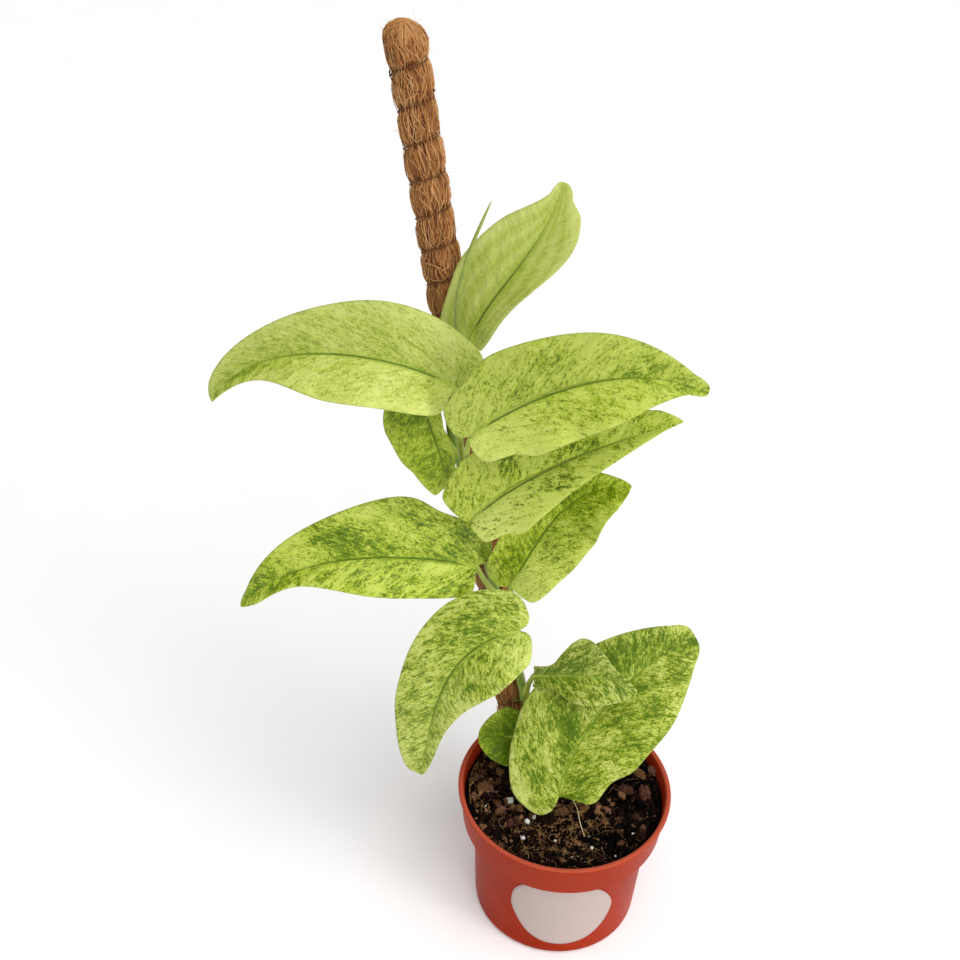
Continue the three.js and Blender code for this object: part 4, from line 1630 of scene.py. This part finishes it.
@dataclass
class Pot:
    """The nursery pot: hub and foot ring below, straight wall, collar and rolled lip."""

    sides: int = 128
    drains: int = 6
    drain_sides: int = 28
    drain_radius: float = 4.5
    drain_circle: float = 27.0
    drain_depth: float = 20.0
    edge_width: float = 0.25
    edge_angle: float = 32.0
    crease: float = 40.0
    profile: tuple[Span, ...] = (
        (18, 0), (19.5, 1.5), (35.5, 1.5), (37, 0), (43, 0), (45.6, 1.2), (46.8, 2.8), (47.1, 5),
        (50, 65.4), (50.4, 66.3), (56.1, 69.6), (56.7, 70.6), (58.05, 89.4), (58.5, 90.1),
        (59.4, 90.5), (59.95, 91.2), (60, 92), (59.7, 92.7), (59.1, 93), (58.2, 92.95),
        (57.4, 92.5), (57, 91.6), (56.5, 90), (55.1, 71.2), (48.6, 67.2), (45.4, 5.6),
        (43.9, 3.6), (14, 3.5),
    )

    def build(self) -> bpy.types.Object:
        """Turns the pot, bores its drains and eases its edges.

        Returns:
            The pot.
        """
        pot = Bench.turned("nursery_pot", self.profile, self.sides)
        for index in range(self.drains):
            turn = 2 * math.pi * index / self.drains
            x, y = self.drain_circle * math.cos(turn), self.drain_circle * math.sin(turn)
            drill = Bench.add(bpy.ops.mesh.primitive_cylinder_add, "drill",
                              vertices=self.drain_sides, radius=self.drain_radius * MM,
                              depth=self.drain_depth * MM, location=(x * MM, y * MM, 0))
            Bench.apply(pot, "BOOLEAN", operation="DIFFERENCE", object=drill, solver="EXACT")
            bpy.data.objects.remove(drill)
        Bench.apply(pot, "BEVEL", width=self.edge_width * MM, segments=2, limit_method="ANGLE",
                    angle_limit=math.radians(self.edge_angle))
        Bench.smooth(pot, self.crease)
        return Bench.dress(pot, "terracotta_plastic", ["pot"], PotFinish().build())


@dataclass
class Label:
    """The blank pebble-shaped sticker on the front of the pot.

    Its centre and edge are degrees round the wall from the front, and heights.
    """

    columns: int = 160
    rows: int = 36
    wall_foot: Span = (47.0, 4.0)
    wall_top: Span = (50.0, 66.0)
    gap: float = 0.12
    thickness: float = 0.3
    face_share: float = 0.94
    edge_share: float = 0.06
    centre: Span = (2.0, 38.0)
    edge: tuple[Span, ...] = (
        (-33.2, 43), (-31.6, 52.5), (-26, 60.5), (-17.5, 64.4), (-7.6, 65.4), (0.4, 65.2),
        (8.3, 64.9), (16.4, 63.7), (24.5, 60.2), (31.4, 53.2), (36.2, 44.5), (37, 37.4), (34, 28),
        (27.3, 19.6), (18.7, 14.2), (7, 11.6), (-3.7, 11.7), (-12.5, 13.9), (-21.8, 19.9),
        (-29, 29.6), (-32.6, 37.5),
    )

    def place(self, u: Array, v: Array) -> tuple[Array, Notes]:
        """Spreads the grid from the middle to the edge, over the edge and back beneath.

        Args:
            u: Shares round the edge.
            v: Shares from the face's middle to the back's middle.

        Returns:
            Points and no attributes.
        """
        knots = np.array(self.edge + self.edge[:1])
        wrapped = np.vstack([knots[-2], knots, knots[1]])
        last = len(wrapped) - 1
        rim = spline_points(wrapped, (1 + (u % 1.0) * (last - 2)) / last)
        out = 1 - np.abs(2 * v - 1)
        reach = np.clip(out / self.face_share, 0, 1)
        flat = np.array(self.centre) + (rim - np.array(self.centre)) * reach[:, None]
        turn, height = np.radians(flat[:, 0]), flat[:, 1]
        (low_radius, low), (high_radius, high) = self.wall_foot, self.wall_top
        wall = blend(low_radius, high_radius, (height - low) / (high - low))
        rounding = np.sqrt(np.clip((1 - out) / self.edge_share, 0, 1))
        radius = wall + self.gap + np.where(v < 0.5, self.thickness, 0.0) * rounding
        return np.stack([radius * np.sin(turn), -radius * np.cos(turn), height], axis=-1), {}

    def build(self) -> bpy.types.Object:
        """Makes the sticker.

        Returns:
            The sticker.
        """
        label = Bench.mapped_grid("blank_sticker", self.columns, self.rows, self.place)
        Bench.smooth(label)
        return Bench.dress(label, "label_paper", ["label"], LabelFinish().build())


@dataclass(frozen=True)
class GroundFinish:
    """One ingredient of the potting mix, coloured by its grains' tones; on the soil's body the tone
    is painted shade in the hollows.
    """

    name: str
    deep: str
    body: str
    bright: str
    rough: float = 0.7
    grain_size: float = 900.0

    def build(self) -> bpy.types.Material:
        """Paints crumbs, specks and, through the body's tone, painted shade in its hollows; damp
        patches are glossier.

        Returns:
            The material.
        """
        board = Board(self.name)
        spot = board.place()
        tone = board.tone()
        crumb = board.grain(spot, self.grain_size, 4.0, 0.7)
        patch = board.grain(spot, 70.0, 3.0, 0.6)
        level = tone * 0.72 + crumb * 0.85 + patch * 0.4 - 0.5
        skin = board.ramp(level, [(0.15, self.deep), (0.5, self.body), (0.9, self.bright)])
        damp = patch.step(0.62, 0.4)
        return board.finish(Base_Color=skin, Roughness=self.rough - 0.25 * damp,
                            Normal=board.bump(crumb, 0.0008), Specular_IOR_Level=0.06)


MIX = GroundFinish("potting_mix", "020101", "090503", "2E180D", 0.85)
CRUMB_MIX = GroundFinish("crumb_mix", "020101", "24120B", "A47650", 0.8)
BARK_SKIN = GroundFinish("bark", "120704", "42231A", "86604E", 0.85, 700.0)
PERLITE_SKIN = GroundFinish("perlite", "8F8468", "D6D0BC", "F4F2EA", 0.75, 1400.0)
STRAW = GroundFinish("soil_fibre", "3C2416", "7E5836", "C09A66", 0.7, 500.0)
ROOT_SKIN = GroundFinish("root_skin", "8A6A44", "C4A578", "E3D0AC", 0.6, 500.0)


@dataclass(frozen=True)
class Heap:
    """One kind of loose grain on the soil, with the shares of its size that give its shape.

    detail 0 is a grain of few faces, and only past 3 does it have the last of the bumps, which are
    a pitch and a weight each. raised is how far the grain's centre stands above the soil in
    shares of its size, ride how much of the soil's roughness lifts it, and least the least lift.
    """

    name: str
    finish: GroundFinish
    detail: int
    dents: float
    seed: float
    crease: float
    width: Span
    height: Span
    raised: float
    ride: float = 0.0
    least: float = 0.0
    tones: Span = (0.2, 0.8)
    places: tuple[Spot, ...] = ()
    few_faces: ClassVar[dict[str, int]] = {"segments": 7, "ring_count": 5}
    bumps: ClassVar[tuple[Span, ...]] = ((1.6, 1.0), (4.0, 0.4), (8.5, 0.35))

    def shape(self, size: float, luck: random.Random) -> Spot:
        """Draws the three half sizes of a grain.

        Args:
            size: The grain's half length.
            luck: The random draws.

        Returns:
            Half its length, width and height.
        """
        shares = (luck.uniform(*span) if span[0] < span[1] else span[0]
                  for span in (self.width, self.height))
        return size, *(size * share for share in shares)

    def model(self) -> bpy.types.Object:
        """Models one dented grain of radius 1 mm, still in millimetres.

        Returns:
            The model.
        """
        if self.detail:
            grain = Bench.add(bpy.ops.mesh.primitive_ico_sphere_add, "grain_model",
                              subdivisions=self.detail, radius=1)
        else:
            grain = Bench.add(bpy.ops.mesh.primitive_uv_sphere_add, "grain_model", radius=1,
                              **self.few_faces)
        bumps = self.bumps if self.detail > 3 else self.bumps[:2]
        for vertex in grain.data.vertices:
            bulge = 0.0
            for axis, (pitch, weight) in enumerate(bumps):
                aside = Vector()
                aside[axis] = self.seed
                bulge += weight * noise.noise(vertex.co * pitch + aside)
            vertex.co *= 1 + self.dents * bulge
        return grain

    def pile(self, seats: Sequence[Matrix], tones: Sequence[float]) -> bpy.types.Object:
        """Copies the model to its seats and dresses the heap.

        Args:
            seats: Where each grain lies, in millimetres.
            tones: Each grain's tone.

        Returns:
            The heap.
        """
        grains = Bench.grains(self.name, self.model(), seats, tones)
        Bench.smooth(grains, self.crease)
        return Bench.dress(grains, "potting_mix", ["soil"], once(self.finish))


CLODS = Heap("soil_clods", CRUMB_MIX, 4, 0.42, 2.0, 24, (0.7, 1), (0.8, 0.8), 0.1)
CRUMBS = Heap("soil_crumbs", CRUMB_MIX, 0, 0.6, 5.0, 24, (0.6, 1), (0.6, 0.9), 0.2, 0.8, -9.0)
BARK = Heap(
    "soil_bark", BARK_SKIN, 4, 0.3, 8.0, 50, (0.6, 0.85), (0.5, 0.75), 0.35, tones=(0.35, 0.9),
    places=(
        (46, 3, 5.4), (35, 4.5, 4.6), (51, 20, 3.4), (40, -15, 3.0), (23.6, -10.6, 3.2),
        (-42, 0, 3.2), (-30, -24, 3.0), (-35, -14, 2.6), (44, -22, 2.4), (20, 42, 3.2),
        (-8, 47, 3.0), (38, 30, 3.0), (-47, 12, 2.6), (2, 20, 2.6), (31, -34, 2.2),
        (-12, -40, 2.4),
    ),
)
PERLITE = Heap(
    "soil_perlite", PERLITE_SKIN, 3, 0.35, 3.0, 50, (0.75, 1), (0.85, 0.85), 0.6, 1.0,
    tones=(0.5, 1),
    places=(
        (-16.8, -18.1, 1.5), (-20.7, -22.6, 1.7), (-30.4, -6.8, 2.4), (-17, -28.5, 0.8),
        (-5, -33, 1.0), (4, -45, 0.9), (7, -44, 0.8), (15, -38, 1.3), (13.5, -31, 1.5),
        (38, -27, 0.9), (-23, -34, 1.6), (-36, -25, 0.8), (28, -41, 0.7), (-44, -12, 0.8),
        (22, -20, 0.9),
    ),
)


@dataclass
class Soil:
    """The potting mix: a crumbly body with clods, crumbs, bark, perlite and fibres on top.

    path gives the section's radius and height at shares of the grid. A tuft is a count of fibres,
    the middle and spread of their places across and along, their lengths and their radius. A root
    is its path, its steps, its first and last radius and its tone.
    """

    columns: int = 260
    rows: int = 100
    level: float = 85.0
    wall: float = 54.7
    top_share: float = 0.1001
    crumbs: int = 3000
    crumb_size: float = 0.36
    crumb_growth: float = 2.4
    clods: int = 30
    clod_size: Span = (2.4, 5.0)
    clod_gap: float = 0.6
    clod_free_radius: float = 16.0
    fibres: int = 210
    fibre_steps: int = 9
    fibre_length: Span = (5, 16)
    fibre_radius: Span = (0.08, 0.17)
    fibre_margin: float = 4.0
    fibre_curl: float = 0.45
    fibre_lift: Span = (0.5, 0.9)
    edge_gap: float = 1.2
    path: tuple[Spot, ...] = (
        (0.0, 0, 3.8), (0.02, 43, 3.8), (0.03, 45, 6.3), (0.06, 48.2, 66.8), (0.08, 54.7, 71.6),
        (0.10, 55.6, 84), (1.0, 0, 85),
    )
    tufts: tuple[tuple[int, Span, Span, Span, float], ...] = (
        (190, (9.5, 6), (-15, 5), (6, 16), 0.16), (60, (-50, 2), (14, 10), (8, 18), 0.13),
        (80, (-18, 9), (-30, 7), (3, 9), 0.14), (90, (4, 11), (-40, 5), (4, 10), 0.13),
    )
    roots: tuple[tuple[tuple[Spot, ...], int, Span, float], ...] = (
        (((-2, 2, 88.5), (3, -5, 89.6), (7, -13, 89.2), (8.5, -22, 88.6), (11, -31, 87)),
         18, (0.42, 0.24), 0.9),
        (((-31, 14, 87.4), (-28.5, 9, 88), (-28, 3, 87.4), (-27.2, -3, 86.6)),
         12, (0.2, 0.14), 0.6),
    )

    def top(self, x: float, y: float) -> float:
        """Returns the soil's height at a place.

        Args:
            x: The place across.
            y: The place along.

        Returns:
            The height above the base.
        """
        swell = 1.3 * math.sin(x / 9 + 1) * math.cos(y / 8) + 0.8 * math.sin(x / 4.3 + y / 5.1)
        bank = 1.8 * max(0.0, math.hypot(x, y) / self.wall - 0.8) / 0.2
        return self.level + swell + bank * max(0.0, math.sin(math.atan2(y, -x) + 1.2))

    def rough(self, x: float, y: float) -> float:
        """Returns the height of crumbs above the smooth soil.

        Args:
            x: The place across.
            y: The place along.

        Returns:
            The height above the smooth soil.
        """
        coarse, middle, fine = (noise.noise(Vector((x / size, y / size, seed)))
                                for size, seed in ((5.5, 0.3), (2.1, 4.1), (0.9, 9.2)))
        return 1.5 * coarse + 1.0 * middle + 0.45 * fine

    def body_place(self, u: Array, v: Array) -> tuple[Array, Notes]:
        """Runs the grid from the middle of the bed up the wall to the middle of the top.

        Args:
            u: Shares round the pot.
            v: Shares along the section.

        Returns:
            Points and the tone of the mix, which paints shade in the hollows between crumbs.
        """
        shares, radii, heights = np.array(self.path).T
        radius, height = np.interp(v, shares, radii), np.interp(v, shares, heights)
        turn = 2 * math.pi * (u % 1.0)
        x, y = radius * np.cos(turn), radius * np.sin(turn)
        open_top = v > self.top_share
        crumb, smooth = (
            np.array([level(a, b) if is_top else 0.0 for a, b, is_top in zip(x, y, open_top)])
            for level in (self.rough, self.top)
        )
        near_wall = np.clip((self.wall - radius) / 3, 0.25, 1)
        height = np.where(open_top, smooth + crumb * near_wall, height)
        # Painted shade: the tone is darker in the hollows between crumbs and paler on their tops.
        tone = np.clip(0.32 + 0.16 * crumb, 0, 1)
        return np.stack([x, y, height], axis=-1), {"tone": tone}

    def lay(self, heap: Heap, x: float, y: float, size: float, luck: random.Random) -> Matrix:
        """Turns one grain at random and sets it on the soil.

        Args:
            heap: The grain's kind.
            x: Its place across.
            y: Its place along.
            size: Its half length.
            luck: The random draws.

        Returns:
            The grain's seat.
        """
        shape = heap.shape(size, luck)
        spin = Matrix.Rotation(luck.uniform(0, 6.28), 4, "Z")
        tilt = Matrix.Rotation(luck.uniform(-0.6, 0.6), 4, "X")
        lift = max(self.rough(x, y) * heap.ride, heap.least)
        height = self.top(x, y) + lift + heap.raised * size
        return Matrix.Translation((x, y, height)) @ (spin @ tilt) @ Matrix.Diagonal((*shape, 1))

    def clod_places(self) -> list[Spot]:
        """Repeats the frame's rule for where its clods lie.

        Returns:
            Each clod's place and size.
        """
        state = 7

        def draw() -> float:
            """Returns the rule's next number from 0 to 1."""
            nonlocal state
            state = (state * 1664525 + 1013904223) % 4294967296
            return state / 4294967296

        places = []
        for _ in range(self.clods):
            size = blend(*self.clod_size, draw())
            reach = (self.wall - size - self.clod_gap) * math.sqrt(draw())
            turn = 2 * math.pi * draw()
            draw()
            x, y = reach * math.cos(turn), reach * math.sin(turn)
            if math.hypot(x - POLE.foot[0], y - POLE.foot[1]) > self.clod_free_radius:
                places.append((x, y, size))
        return places

    def scatter(self, luck: random.Random, margin: float) -> Span:
        """Draws a place on the soil's top.

        Args:
            luck: The random draws.
            margin: How far it stays from the wall.

        Returns:
            The place across and along.
        """
        reach = (self.wall - margin) * math.sqrt(luck.random())
        turn = luck.uniform(0, 2 * math.pi)
        return reach * math.cos(turn), reach * math.sin(turn)

    def strand(self, luck: random.Random, x: float, y: float, length: float, radius: float) -> Line:
        """Lays one fibre on the soil from a place, curling as it goes.

        Args:
            luck: The random draws.
            x: Where it starts across.
            y: Where it starts along.
            length: Its length.
            radius: Its radius.

        Returns:
            The fibre.
        """
        least, spread = self.fibre_lift
        heading = luck.uniform(0, 2 * math.pi)
        points = []
        for _ in range(self.fibre_steps):
            inward = min(1.0, (self.wall - self.edge_gap) / math.hypot(x, y))
            x, y = x * inward, y * inward
            height = self.top(x, y) + self.rough(x, y) + least + luck.uniform(0, spread)
            points.append((x, y, height))
            heading += luck.gauss(0, self.fibre_curl)
            x += length / self.fibre_steps * math.cos(heading)
            y += length / self.fibre_steps * math.sin(heading)
        return Line(np.array(points), np.full(len(points), radius), luck.uniform(0.2, 1))

    def heaps(self, luck: random.Random) -> list[bpy.types.Object]:
        """Lays the clods, the crumbs, the bark and the perlite.

        Args:
            luck: The random draws.

        Returns:
            The heaps.
        """
        seats, tones = [], []
        for place in self.clod_places():
            seats.append(self.lay(CLODS, *place, luck))
            tones.append(luck.uniform(*CLODS.tones))
        heaps = [CLODS.pile(seats, tones)]
        seats, tones = [], []
        for _ in range(self.crumbs):
            x, y = self.scatter(luck, self.edge_gap)
            size = self.crumb_size + self.crumb_growth * luck.random() ** 2.8
            seats.append(self.lay(CRUMBS, x, y, size, luck))
            pale = 0.55 if size < 1.0 and luck.random() < 0.3 else 0.0
            tone = 1.1 * luck.betavariate(1.0, 3.0) + pale
            tones.append(tone - 0.005 * min(x, 25) + 0.002 * (y + 20))
        heaps.append(CRUMBS.pile(seats, tones))
        for heap in (BARK, PERLITE):
            seats = [self.lay(heap, *place, luck) for place in heap.places]
            heaps.append(heap.pile(seats, [luck.uniform(*heap.tones) for _ in seats]))
        return heaps

    def build(self) -> list[bpy.types.Object]:
        """Makes the body of the mix and what lies on it.

        Returns:
            The pieces.
        """
        luck = random.Random(23)
        body = Bench.mapped_grid("potting_mix", self.columns, self.rows, self.body_place)
        Bench.smooth(body)
        pieces = [Bench.dress(body, "potting_mix", ["soil"], MIX.build()), *self.heaps(luck)]
        lines = [self.strand(luck, *self.scatter(luck, self.fibre_margin),
                             luck.uniform(*self.fibre_length), luck.uniform(*self.fibre_radius))
                 for _ in range(self.fibres)]
        lines += [self.strand(luck, luck.gauss(*across), luck.gauss(*along),
                              luck.uniform(*lengths), radius)
                  for count, across, along, lengths, radius in self.tufts for _ in range(count)]
        fibres = Bench.strands("soil_fibres", lines)
        pieces.append(Bench.dress(fibres, "potting_mix", ["soil"], STRAW.build()))
        lines = [Line(spline_points(np.array(path), np.linspace(0, 1, steps)),
                      np.linspace(*radii, steps), tone) for path, steps, radii, tone in self.roots]
        roots = Bench.strands("pale_roots", lines, Roundness.ROOT)
        Bench.smooth(roots)
        pieces.append(Bench.dress(roots, "potting_mix", ["soil"], ROOT_SKIN.build()))
        return pieces


# ---- Stage


@dataclass
class Studio:
    """A pale floor, a white surround, wide daylight, a soft window and the camera.

    The floor's and the window's sizes and places are metres.
    """

    camera_spot: Spot = (-56.1, -596.6, 790.0)
    pitch: float = 38.8
    roll: float = 2.81
    lens: float = 60.0
    sensor: float = 36.0
    floor_size: float = 9.0
    floor_glow: float = 0.12
    surround_power: float = 0.42
    daylight_way: Spot = (-0.30, 0.52, -1.0)
    daylight_power: float = 1.85
    daylight_width: float = 50.0
    window_spot: Spot = (1.1, -0.75, 0.55)
    window_aim: Spot = (0, 0, 0.05)
    window_size: Span = (0.35, 0.9)
    window_power: float = 6.0

    def floor(self) -> None:
        """Lays a pale floor under the pot."""
        floor = Bench.add(bpy.ops.mesh.primitive_plane_add, "floor", size=self.floor_size)
        board = Board("pale_floor")
        speck = board.grain(board.place(), 30.0, 2.0, 0.5)
        floor.data.materials.append(board.finish(
            Base_Color=board.mix(speck, "F6F6F6", "FAFAFA"), Roughness=0.9,
            Emission_Strength=self.floor_glow, Emission_Color=linear("FFFFFF"),
        ))

    def surround(self) -> None:
        """Lights the scene evenly from all round."""
        world = bpy.data.worlds.new("surround")
        world.use_nodes = True
        glow = world.node_tree.nodes["Background"]
        glow.inputs["Color"].default_value = linear("FFFFFF")
        glow.inputs["Strength"].default_value = self.surround_power
        bpy.context.scene.world = world

    @staticmethod
    def lamp(name: str, kind: str, way: Vector, **settings: Any) -> bpy.types.Object:
        """Adds a light.

        Args:
            name: Its name.
            kind: Its kind.
            way: The way that it shines.
            settings: Its settings.

        Returns:
            The lamp.
        """
        light = bpy.data.lights.new(name, kind)
        for setting, value in settings.items():
            setattr(light, setting, value)
        lamp = Bench.hang(name, light)
        lamp.rotation_euler = way.to_track_quat("-Z", "Y").to_euler()
        return lamp

    def camera(self) -> None:
        """Puts the camera where the photograph was taken from."""
        pitch, roll = math.radians(self.pitch), math.radians(self.roll)
        level, upward = Vector((1, 0, 0)), Vector((0, math.sin(pitch), math.cos(pitch)))
        right = math.cos(roll) * level + math.sin(roll) * upward
        up = -math.sin(roll) * level + math.cos(roll) * upward
        turn = Matrix((right, up, right.cross(up))).transposed()
        lens = bpy.data.cameras.new("view")
        lens.lens, lens.sensor_width = self.lens, self.sensor
        camera = Bench.hang("view", lens)
        camera.matrix_world = Matrix.Translation(Vector(self.camera_spot) * MM) @ turn.to_4x4()
        bpy.context.scene.camera = camera

    def build(self) -> None:
        """Sets the whole stage."""
        self.floor()
        self.surround()
        self.lamp("daylight", "SUN", Vector(self.daylight_way), energy=self.daylight_power,
                  angle=math.radians(self.daylight_width))
        width, height = self.window_size
        spot, aim = Vector(self.window_spot), Vector(self.window_aim)
        window = self.lamp("window", "AREA", aim - spot, energy=self.window_power,
                           shape="RECTANGLE", size=width, size_y=height)
        window.location = spot
        self.camera()
        bpy.context.scene.view_settings.view_transform = "Standard"


def main() -> None:
    """Builds the plant, its pole and pot and the stage."""
    logging.basicConfig(level=logging.INFO, format="%(message)s")
    Bench.clear()
    Studio().build()
    Pot().build()
    Label().build()
    Soil().build()
    ClimbingPole().build()
    Stem().build()
    for index, plan in enumerate(LEAVES, start=1):
        Leaf(plan, index).build()
    NewLeaf().build()
    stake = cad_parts["pole_stake"]
    for slot in stake.material_slots:
        slot.material = StakeFinish().build()
    Bench.clear()


if __name__ == "__main__":
    main()
